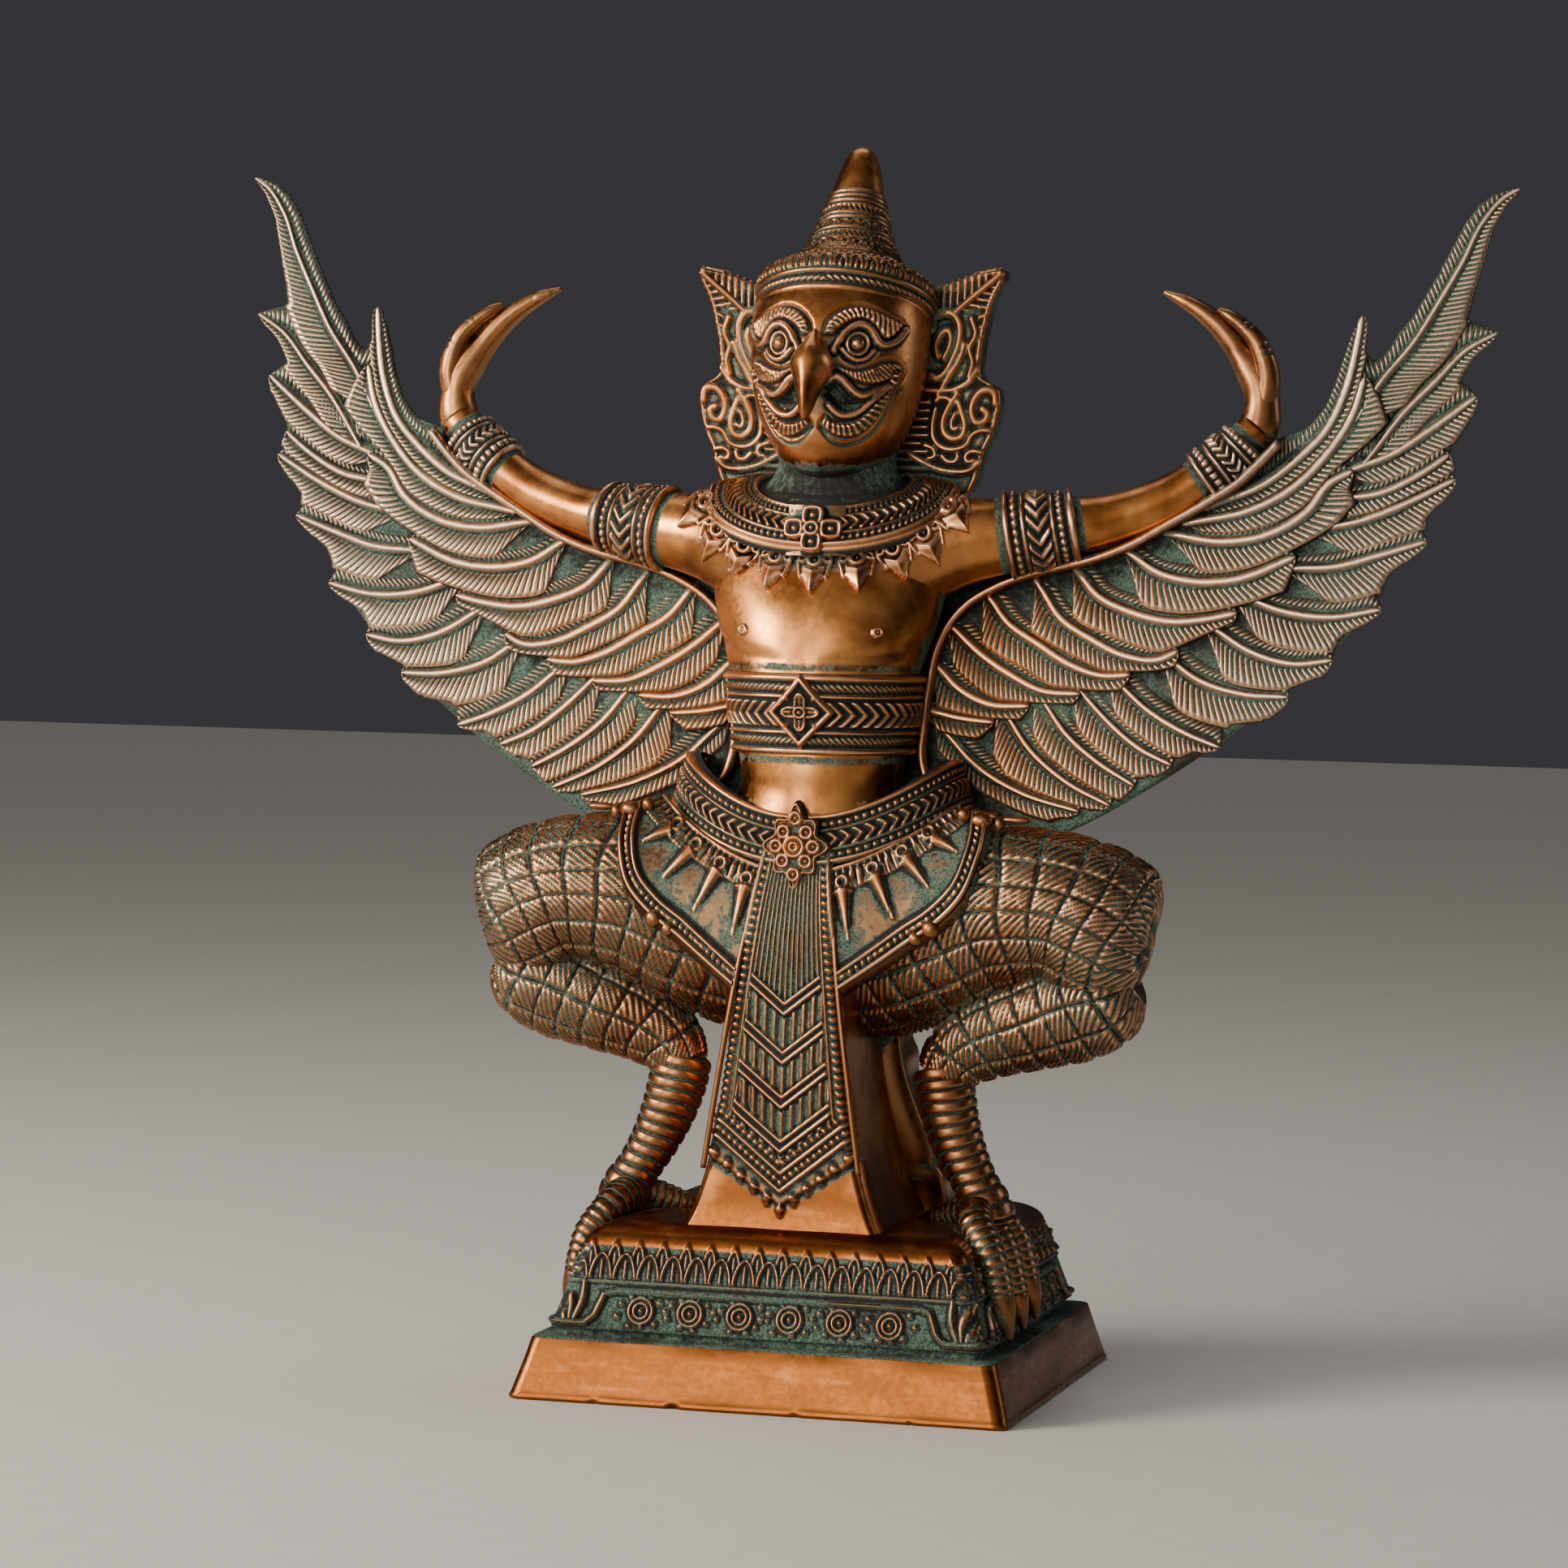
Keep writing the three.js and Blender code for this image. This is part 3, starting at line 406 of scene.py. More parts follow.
COVERTS = [
    [(138, 322), (155, 329.5), (167.5, 339.5), (175.5, 348), (182.5, 363.5), (185.5, 378), (187, 390)],
    [(131, 315.5), (149, 319.5), (165, 328), (177, 340.5), (185.5, 355), (189, 368)],
    [(124, 310.5), (140, 308.5), (156, 311), (170.5, 319.5), (179, 330.5), (186.5, 334.5)],
    [(109, 302.5), (118, 297), (131.5, 294), (146, 295), (167.5, 303.5)],
    [(89.5, 295.5), (96, 288.5), (109, 282.5), (124, 279.5), (135.5, 280.5), (147.5, 283)],
    [(76, 289.5), (83, 280), (95, 272.5), (107, 267), (120, 265.8), (127, 269)],
    [(57, 286), (63.5, 278), (75.5, 270.3), (89, 262.6), (99, 259.6), (110, 260)],
    [(44.6, 274.5), (54, 266.5), (66, 259), (78, 253.5), (92, 252.7)],
    [(40, 260), (47, 253.5), (58.7, 248.2), (73.6, 247.8)],
    [(38, 245), (47.4, 243), (61, 241.6)],
]
FLIGHTS = [
    [
        (186.5, 352.5), (195, 367), (205.5, 380.5), (214.5, 396), (222, 410), (228, 423.5), (235.5, 432.8),
        (241.5, 436.2),
    ],
    [(193, 341), (203.7, 355.8), (214.3, 367), (225, 378.4), (236, 384.6)],
    [(187, 335.5), (199.7, 340.6), (212, 348.8), (229, 361.5)],
    [(181.5, 324.5), (197, 327), (210, 333.5), (222.7, 342.5)],
    [(176.5, 314), (188, 316.3), (204, 322.4), (223, 332)],
    [(169, 299.5), (181, 300.2), (197, 304.5), (214.5, 310)],
    [(149.5, 289), (162.7, 284.3), (180.4, 282.3), (199.5, 285.5)],
    [(140.5, 276.5), (152, 269.7), (168.5, 265.4), (182.5, 267)],
    [(125, 265), (133.5, 259.3), (150, 254.3), (168, 253.5)],
    [(106, 256.5), (116, 248), (131.3, 239.5), (145, 234.5)],
    [(93, 252.3), (102, 243.4), (113.7, 234.2), (128.5, 227.3)],
    [(78.5, 249.5), (87.3, 238.2), (99.4, 228.5), (113.5, 220.4)],
    [(64.7, 245), (74.6, 231.8), (88.4, 221), (105, 213)],
    [(43, 237.3), (55.2, 225.6), (72.2, 216.5), (93.9, 210.6)],
]
RIM = [
    (160, 344), (153.6, 336.7), (146, 329.4), (136.5, 323), (122.4, 314.6), (108, 306.3), (95.4, 301.3),
    (84, 298.3), (71, 295), (59.7, 290.5), (50, 284.7), (43, 277.3), (38.7, 267.8), (36.6, 254.8),
    (35.6, 240.3), (35.6, 227.4), (38.6, 219.5), (44.7, 213.3), (53.2, 209.6), (65, 207.6),
]


def feather(casting, line, above, below, level, thick, rib, barb, lean, taper):
    """One feather in the wing's plane: a raised rib, with a sunk vane above it and a raised one below, each
    pointed at both ends. The rows of its grid lie along the barbs, and the wing's outline cuts them off."""
    rows = len(line)
    along = unit(np.gradient(line, axis=0))
    outward = np.stack([along[:, 1], -along[:, 0]], axis=1)
    t = np.linspace(0, 1, rows)
    left, done = length_of(line) * (1 - t), length_of(line) * t
    half = rib * (0.8 + 0.2 * np.sin(t * np.pi)) * np.clip(np.sqrt(left / 2.2), 0.15, 1)

    def spread(side, wide):
        wide = np.minimum.reduce([wide, left * taper + half, np.maximum(done - 1.5, 0) * 1.7])
        wide = np.maximum(wide, half * 1.15)
        k = np.linspace(0, 1, 40)[None]
        off = half[:, None] + (wide - half)[:, None] * k
        swept = ((off - half[:, None]) * lean)[..., None]
        p = line[:, None] + outward[:, None] * (side * off)[..., None] + along[:, None] * swept
        inside = within(WING_OUTLINE, p[..., 0], p[..., 1]) > 0
        held = np.pad(np.cumprod(inside, axis=1).mean(axis=1), 2, mode="edge")
        held = np.minimum.reduce([held[k : k + rows] for k in range(5)])
        return np.maximum(half + (wide - half) * held, half * 1.15)

    vane_up, vane_down = spread(-1, above), spread(1, below)
    cut = np.arange(rows) % 3 == 0
    offsets, heights, reliefs = [], [], []

    def column(offset, height, stand, barbed=False):
        offsets.append(offset)
        heights.append(height + barb * np.where(cut, -0.62, 0.33) * barbed)
        reliefs.append(np.where(cut & barbed, -0.6, stand))

    for k, height, stand, barbed in (
        (1.0, -1.1, -0.7, False), (0.9, 0.2, 0.0, True), (0.4, 0.3, 0.08, True), (0.12, -0.2, -0.5, False),
    ):
        column(-(half + (vane_up - half) * k), height, stand, barbed)
    for k in (-0.75, -0.3, 0.2, 0.7):
        column(half * k, 0.5 + 1.35 * math.sqrt(1 - k * k) * (1 - 0.3 * t), 0.9 - 0.6 * abs(k))
    for k, height, stand, barbed in (
        (0.08, 0.0, -0.5, False), (0.22, 0.5, 0.1, True), (0.74, 0.9, 0.4, True), (0.9, 0.75, 0.5, False),
        (1.0, -1.1, -0.7, False),
    ):
        column(half + (vane_down - half) * k, height, stand, barbed)
    offsets, heights = np.stack(offsets, axis=1), np.stack(heights, axis=1)
    shift = np.clip(np.abs(offsets) - half[:, None], 0, None) * lean
    flat = line[:, None] + outward[:, None] * offsets[..., None] + along[:, None] * shift[..., None]
    level = np.broadcast_to(level, rows)[:, None]
    front = np.stack([flat[..., 0], wing_depth(flat[..., 1]) - level - heights, flat[..., 1]], axis=-1)
    backs, back_relief = [], []
    for k in (0.92, 0.4, -0.4, -0.92):
        w = vane_down * k if k > 0 else vane_up * k
        p = line + outward * w[:, None] + along * (np.clip(np.abs(w) - half, 0, None) * lean)[:, None]
        y = wing_depth(p[:, 1]) - level[:, 0] + thick * (1.0 - 0.35 * abs(k)) * np.clip(left / 8, 0.35, 1)
        backs.append(np.stack([p[:, 0], y + 0.25 * barb * cut, p[:, 1]], axis=-1))
        back_relief.append(np.where(cut, -0.2, 0.1))
    grid = np.concatenate([front, np.stack(backs, axis=1)], axis=1)
    zone = np.concatenate([np.ones((rows, front.shape[1])), np.full((rows, 4), 0.8)], axis=1)
    stand = np.concatenate([np.stack(reliefs, axis=1), np.stack(back_relief, axis=1)], axis=1)
    casting.patch(grid, 0.0, zone, wrap=True, ends=True, relief=stand)


def wings(settings):
    """Both wings: a thin backing web, the flight feathers, the coverts over them and the raised rim."""
    casting = Casting()
    pitch, barb = settings.barb_pitch / MM, settings.barb_height / MM

    def ribs(feathers, back):
        """Rib lines with three points to a barb, carried on inwards under what covers their roots."""
        made = []
        for points in feathers:
            start, after = np.array(points[0], float), np.array(points[1], float)
            points = [tuple(start - unit(after - start) * back)] + list(points)
            coarse = spline(points, 60, 2)
            line = spline(points, int(length_of(coarse) / pitch) * 3 + 1, 2)
            made.append(line[within(WING_OUTLINE, line[:, 0], line[:, 1]) > 0.25])
        return made

    def gap(line, other):
        """How far another rib, carried on at both ends, lies from each point of this one."""
        ends = unit(other[0] - other[4]), unit(other[-1] - other[-5])
        longer = np.concatenate([[other[0] + ends[0] * 25], other[::4], [other[-1] + ends[1] * 25]])
        return np.clip(np.abs(follow(longer, line[:, 0], line[:, 1])[1]), 3.0, 17)

    def row_of(feathers, back, level, thick, rib, taper):
        made = ribs(feathers, back)
        for k, line in enumerate(made):
            above = gap(line, made[k - 1]) * 0.4 if k else np.full(len(line), 9.5)
            below = gap(line, made[k + 1]) * 0.8 if k + 1 < len(made) else np.full(len(line), 7.0)
            t = np.linspace(0, 1, len(line))
            rise = level[0] + (level[1] - level[0]) * t + 0.16 * (k % 2)
            width = rib * (0.86 if len(line) < 60 else 1)
            feather(casting, line, above, below, rise, thick, width, barb, 0.72, taper)

    row_of(FLIGHTS[2:], 7, (0.0, 0.4), 2.6, 1.3, 1.1)
    for line, level, wide in zip(ribs(FLIGHTS[:2], 5), (0.9, 0.35), (15, 10)):
        vane = np.full(len(line), float(wide))
        feather(casting, line, vane, vane * 0.9, level, 3.2, 1.0, barb, 0.8, 0.6)
    row_of(COVERTS, 5, (2.4, 2.2), 3.6, 1.65, 0.62)

    # The web the feathers lie on: it rises under the upper coverts and runs in under the arm.
    roots = spline(
        [
            (155.5, 344.5), (141, 334), (128, 325), (98, 310), (66, 303), (49, 297), (36, 280), (30, 250),
            (28, 200),
        ],
        90, 2,
    )
    edge = spline(
        [
            (222, 366), (222, 350), (215, 325), (203, 303), (190, 280), (154, 245), (118, 219), (92, 204),
            (70, 195),
        ],
        90, 2,
    )
    across = np.linspace(0, 1, 24)
    lift = 2.3 - 2.2 * np.clip((across - 0.42) / 0.16, 0, 1)
    web = []
    for a, b in zip(roots, edge):
        line = a[None] + (b - a)[None] * across[:, None]
        raised = lift * min(max((a[1] - 250) / 20, 0.0), 1.0)
        front = np.stack([line[:, 0], wing_depth(line[:, 1]) - raised, line[:, 1]], axis=1)
        back = np.stack([line[::-3, 0], wing_depth(line[::-3, 1]) + 1.9, line[::-3, 1]], axis=1)
        web.append(np.concatenate([front, back]))
    web = np.stack(web)
    behind = np.arange(web.shape[1]) >= len(across)
    zone, stand = np.where(behind, 0.5, 1.0), np.where(behind, 0.1, -0.3)
    casting.patch(web, 0.0, zone, wrap=True, ends=True, relief=stand)

    rim = spline([(x, wing_depth(z) - 3.9 - 3.4 * np.clip((z - 275) / 30, 0, 1), z) for x, z in RIM], 120)
    grid, turn = tube(rim, 1.9, 3.4, 12)
    casting.patch(grid, 0.0, 1.0, wrap=True, ends=True, relief=0.12 + 0.45 * np.cos(turn))
    # The left wing's tip stands a little higher than the right one's.
    casting.mirror(lambda p: p + np.outer(4.0 * np.clip((np.abs(p[:, 0]) - 150) / 90, 0, 1) ** 2, [0, 0, 1]))
    return casting.make("wings")


# Shapes drawn on a surface, in mm, for chased ornament


def smooth(table, at):
    """Reads the columns after the first of a table at the given values of the first, along smooth curves."""
    p = np.asarray(table, float)
    x, y = p[:, 0], p[:, 1:]
    slope = np.gradient(y, x, axis=0)
    at = np.asarray(at, float)
    i = np.clip(np.searchsorted(x, at, side="right") - 1, 0, len(x) - 2)
    h = (x[i + 1] - x[i])[..., None]
    u = np.clip((at - x[i])[..., None] / h, 0, 1)
    return hermite(y, slope, i, h, u)


def follow(line, u, v):
    """The distance of each point (u, v) along a line drawn on the surface, and across it (left is +)."""
    line = np.asarray(line, float)
    best = np.full(u.shape, 1e9)
    s, a = np.zeros(u.shape), np.zeros(u.shape)
    run = 0.0
    for (u0, v0), (u1, v1) in zip(line[:-1], line[1:]):
        du, dv = u1 - u0, v1 - v0
        size = math.hypot(du, dv)
        if size < 1e-6:
            continue
        du, dv = du / size, dv / size
        t = np.clip((u - u0) * du + (v - v0) * dv, 0, size)
        pu, pv = u - u0 - t * du, v - v0 - t * dv
        far = np.hypot(pu, pv)
        near = far < best
        best = np.where(near, far, best)
        s = np.where(near, run + t, s)
        a = np.where(near, np.sign(du * pv - dv * pu) * far, a)
        run += size
    return s, a, run


def curve(points, step=1.2):
    line = spline(points, 80, 2)
    return spline(points, max(int(length_of(line) / step), 4), 2)


def cord(points, u, v, half, height, taper=False):
    """A raised cord along a line, pointed at both ends where it tapers."""
    s, a, run = follow(curve(points), u, v)
    if taper:
        half = half * (np.sqrt(np.clip(1 - ((2 * s / run - 1) * 0.97) ** 2, 0, 1)) * 0.75 + 0.25)
    return swell(a, half, height)


def arrows(s, a, pitch, half, height):
    """A row of V-shaped bars across a band, pointing along s."""
    inside = np.clip((half - np.abs(a)) * 3, 0, 1)
    phase = np.cos(2 * np.pi * (s + np.abs(a)) / pitch)
    return height * inside * np.clip(phase * 0.9 + 0.45, 0, 1)


def boss(u, v, spot, radii, height):
    """Rings and a button round a point: radii from the outside in."""
    d = np.hypot(u - spot[0], v - spot[1])
    h = np.zeros_like(d)
    for r, half in radii:
        h = np.maximum(h, swell(d - r, half, height))
    return h


def petals(u, v, pitch, foot, tall, height, half_share=0.46, shift=0.0):
    """A row of pointed lotus petals, each with a raised rim and a rib."""
    w = nearest(u + shift, pitch)
    t = (v - foot) / tall
    edge = pitch * half_share * np.sqrt(np.clip(1 - np.clip(t, 0, 1) ** 1.7, 0, 1))
    inner = (t > 0) & (t < 1) & (np.abs(w) < edge)
    rim = swell(edge - np.abs(w) - 0.55, 0.62, height)
    rib = swell(np.abs(w), 0.5, height * 0.8) * (t < 0.72)
    return np.where(inner, np.maximum(np.maximum(rim, rib), height * 0.3), 0.0)


def oval(table, z, turn):
    """A body of level ovals: rows by height, columns by turn. The table has height, middle y, half
    width and half depth."""
    middle, wide, deep = smooth(table, z).T
    x = wide[:, None] * np.sin(turn)[None]
    y = middle[:, None] - deep[:, None] * np.cos(turn)[None]
    return np.stack([x, y, np.broadcast_to(z[:, None], x.shape)], axis=-1)


def within(points, u, v):
    """How far inside a closed outline each point lies, and less than 0 outside it."""
    outline = np.asarray(list(points) + [points[0]], float)
    _, a, _ = follow(outline, u, v)
    odd = np.zeros(u.shape, bool)
    for (u0, v0), (u1, v1) in zip(outline[:-1], outline[1:]):
        if abs(v1 - v0) > 1e-9:
            odd ^= ((v0 > v) != (v1 > v)) & (u < u0 + (v - v0) * (u1 - u0) / (v1 - v0))
    return np.where(odd, np.abs(a), -np.abs(a))


def banded(s, a, rows):
    """Rows of ornament along a band. Each row has its kind, its place across, half width, pitch and
    height."""
    h = np.zeros(np.broadcast(s, a).shape)
    for kind, at, half, pitch, height in rows:
        d = a - at
        if kind == "rail":
            row = swell(d, half, height)
        elif kind == "beads":
            row = beads(s, d, pitch, half, height)
        elif kind == "studs":
            ends = np.clip(1 - (nearest(s, pitch) / pitch / 0.42) ** 4, 0, 1)
            row = height * np.sqrt(np.clip(1 - (d / half) ** 4, 0, 1) * ends)
        elif kind == "rope":
            row = swell(d, half, height) * (0.6 + 0.4 * np.cos(2 * np.pi * (s + d * 1.1) / pitch))
        else:
            row = arrows(s, d, pitch, half, height)
        h = np.maximum(h, row)
    return h


def laid(casting, surface, centre, half, step, drawing, turn=0.0, carved=1.0):
    """A small patch laid on a surface and raised by a drawing of (u, v) round its centre. It dives under
    the surface where the drawing is negative."""
    u, v = np.meshgrid(even(-half[0], half[0], step), even(-half[1], half[1], step))
    c, s = math.cos(turn), math.sin(turn)
    casting.patch(surface(centre[0] + u * c - v * s, centre[1] + u * s + v * c), drawing(u, v), carved)


def flower(u, v, radius, lobes, height, start=0.0):
    """A rosette of rounded petals, each with a raised rim and a rib, round a ringed boss."""
    d, turn = np.hypot(u, v), np.arctan2(v, u) + start
    phase = (turn * lobes / (2 * np.pi) + 0.5) % 1.0 - 0.5
    edge = radius * (0.72 + 0.28 * np.cos(phase * 2 * np.pi))
    rim = swell(d - edge + 0.55, 0.6, height)
    rib = swell(phase * d, 0.42, height * 0.75) * (d < edge) * (d > radius * 0.4)
    body = np.where(d < edge, height * 0.35, 0)
    centre = np.maximum(swell(d - radius * 0.27, 0.55, height * 1.15), swell(d, radius * 0.15, height * 1.35))
    return np.maximum(np.maximum(rim, rib), np.maximum(body, centre))


# Plinth


def plinth_outline(half_wide, half_deep, corner, counts):
    """One level ring of the plinth, from the middle of its back round by the left. Each point comes
    with how far it is from the middle of its own side and which side that is: 0 front, 1 right, 2 back,
    3 left."""
    front, side, back, bend = counts
    points, place, which = [], [], []
    sides = [
        (3, (-half_wide, half_deep), (-half_wide, -half_deep), side),
        (0, (-half_wide, -half_deep), (half_wide, -half_deep), front),
        (1, (half_wide, -half_deep), (half_wide, half_deep), side),
        (2, (half_wide, half_deep), (-half_wide, half_deep), back),
    ]
    for name, start, stop, count in sides:
        start, stop = np.array(start), np.array(stop)
        way = unit(stop - start)
        inward = np.array([-way[1], way[0]])
        size = np.linalg.norm(stop - start)
        for t in np.linspace(corner, size - corner, count):
            points.append(start + way * t)
            place.append(t - size / 2)
            which.append(name)
        centre = stop - way * corner + inward * corner
        for k in range(1, bend):
            turn = k / bend * np.pi / 2
            points.append(centre + corner * (way * math.sin(turn) - inward * math.cos(turn)))
            place.append(size / 2 - corner * (1 - k / bend))
            which.append(name)
    return np.array(points), np.array(place), np.array(which)


def plinth(settings):
    """The plinth: a plain sloping skirt, a dark groove and a carved tier with a rounded top."""
    wide, deep = settings.width / MM / 2, settings.depth / MM / 2
    skirt, groove, tier = settings.skirt_height / MM, 3.0, settings.tier_height / MM
    top, base = skirt + groove + tier, skirt + groove
    rounding = 9.0
    edge = top - rounding
    casting = Casting()
    # height and inset from the base's outline; the corner radius follows from the inset
    profile = [(0.0, 0.8), (0.5, 0.2), (1.2, 0.0)]
    profile += [(z, 6.5 * z / skirt) for z in (2.4, 4, 6.5, 11, 16, skirt - 0.8)]
    profile += [(skirt - 0.2, 6.6), (skirt, 7.2), (skirt + 0.1, 13.2), (base - 0.5, 13.4), (base - 0.2, 11.8)]
    carved_from = len(profile)
    profile += [(z, 11.5 + 9.0 * (z - base) / (edge - base)) for z in even(base, edge, 0.55)]
    carved_to = len(profile)
    for t in np.linspace(0, 1, 12)[1:]:
        turn = t * np.pi / 2
        profile.append((edge + rounding * math.sin(turn) * 0.98, 20.5 + 14.0 * (1 - math.cos(turn))))
    profile += [(top - 0.1 + 0.5 * k / 6, 34.5 + 44.0 * k / 6) for k in (1, 3, 6)]
    rows, places, whiches, zs = [], [], [], []
    for z, inset in profile:
        points, place, which = plinth_outline(
            wide - inset, deep - inset, min(4.5, deep - inset - 1), (300, 104, 30, 4),
        )
        rows.append(np.concatenate([points, np.full((len(points), 1), z)], axis=1))
        places.append(place)
        whiches.append(which)
        zs.append(np.full(len(points), z))
    grid, u, which, z = np.stack(rows), np.stack(places), np.stack(whiches), np.stack(zs)
    h = np.zeros(u.shape)
    span = np.where(which % 2 == 0, wide, deep) - 13.0
    # Lotus frieze: a row of broad petals with taller ones looking out between them.
    pitch = 8.8
    behind = petals(u, z, pitch, edge - 8.5, 10.2, 1.5, 0.36, pitch / 2)
    before = petals(u, z, pitch, edge - 10.5, 8.6, 2.1, 0.5)
    h = np.maximum(h, np.where(before > 0, before, behind))
    h = np.maximum(h, swell(z - (edge - 11.6), 0.7, 1.0))
    # The frame: a rail that runs along under the frieze and steps down to the foot at both ends.
    lintel, foot, step = base + 13.2, base + 1.8, 8.0
    end = span - 20.0
    for name, half in ((0, wide - 13.0), (1, deep - 13.0), (3, deep - 13.0)):
        last = half - 20.0
        line = [
            (-half - 4, foot), (-last - step, foot), (-last - step * 0.55, foot + 3),
            (-last - 1.5, lintel - 1.2), (-last + 3, lintel),
        ]
        line += [(-a, b) for a, b in line[::-1]]
        _, a, _ = follow(line, u, z)
        h = np.where(which == name, np.maximum(h, swell(a, 1.25, 1.9)), h)
    field = (np.abs(u) < end - 1) & (z > foot - 1) & (z < lintel - 1.5) & (which != 2)
    # Rosettes of rings in the framed field, with pellets scattered round them.
    shake = np.random.default_rng(7)
    centre = (foot + lintel) / 2 - 0.6
    for k in range(settings.rosettes):
        last = wide - 33.0
        x = -last + 12.5 + k * (2 * last - 25) / (settings.rosettes - 1)
        ring = boss(u, z, (x, centre), [(4.3, 0.65), (2.6, 0.6), (0.0, 1.1)], 1.5)
        h = np.where(field, np.maximum(h, ring), h)
        for j in range(9):
            turn = j * 2 * np.pi / 9 + shake.uniform(-0.2, 0.2)
            far = shake.uniform(6.0, 7.4)
            spot = (x + far * 1.25 * math.cos(turn), centre + far * 0.8 * math.sin(turn))
            h = np.where(field, np.maximum(h, boss(u, z, spot, [(0.0, shake.uniform(0.9, 1.5))], 1.1)), h)
    # Fans of leaves in the corners, outside the frame.
    for side in (-1, 1):
        for k in range(4):
            lean = (k - 0.6) * 0.36
            start = (side * (wide - 21 + k * 1.6), foot + 1.2)
            tip = (start[0] + side * 13 * math.sin(lean), start[1] + (14 - k * 1.6) * math.cos(lean))
            middle = ((start[0] + tip[0]) / 2 - side * 1.2, (start[1] + tip[1]) / 2)
            blade = cord([start, middle, tip], u, z, 1.5, 1.7, taper=True)
            h = np.where(which == 0, np.maximum(h, blade), h)
    carved = np.zeros(u.shape)
    carved[carved_from - 5 : carved_to] = 1.0
    h[:carved_from] = 0
    h[carved_to + 2 :] = 0
    # Chips and dents along the lower edge, and the slight waviness of a casting.
    rough = np.sin(u * 0.11 + which) * np.sin(z * 0.3 + u * 0.05) * 0.15
    for _ in range(26):
        spot, name = shake.uniform(-80, 80), shake.integers(0, 4)
        far = np.hypot(u - spot, (z - 0.3) * 1.6)
        size = shake.uniform(0.8, 2.0)
        rough = np.where(which == name, rough - shake.uniform(0.4, 1.0) * hump(far, size), rough)
    plain = np.where(carved > 0, 0, rough)
    casting.patch(grid, h * 0.95 + plain, carved, wrap=True, ends=True, stain=0.35 * carved)
    return casting.make("plinth")


# The post under the loincloth, and the tail behind it

POST = [
    (54, 40, -57, 34), (60, 37, -56, 31), (66, 34, -55, 28), (76, 30.4, -54.4, 23), (92, 26.4, -54, 16),
    (118, 22, -53.5, 6), (144, 19.5, -52, -2), (172, 17, -48, -6), (198, 14.5, -39.5, -10),
]
TAIL = [
    (54, 46, 14, 52), (62, 44, 13.5, 48), (84, 38.5, 8, 38), (114, 29, 2, 28), (145, 25, 2, 25),
    (180, 22, 2, 22), (215, 20, 2, 19),
]


def slab(table, z, front_step, rear=5):
    """A standing slab: level sections with rounded corners. Returns the grid and which of its points are
    on the front."""
    half, front, back = smooth(table, z).T
    u = even(-1, 1, front_step)
    around = []
    for h, f, b in zip(half, front, back):
        r = 2.6
        y = np.full(len(u), f) + r * np.clip((np.abs(u) * h - (h - r)) / r, 0, 1) ** 2
        side_y = np.linspace(f + r * 1.3, b - 1.0, 7)
        right = np.stack([np.full(7, h), side_y], axis=1)
        back_edge = np.stack([np.linspace(h - 1.5, -h + 1.5, rear), np.full(rear, b)], axis=1)
        face = np.stack([u * (h - r * 0.3), y], axis=1)
        around.append(np.concatenate([face, right, back_edge, (right * [-1, 1])[::-1]]))
    grid = np.array(around)
    grid = np.concatenate([grid, np.broadcast_to(z[:, None, None], grid.shape[:2] + (1,))], axis=-1)
    front_part = np.zeros(grid.shape[:2], bool)
    front_part[:, : len(u)] = True
    return grid, front_part


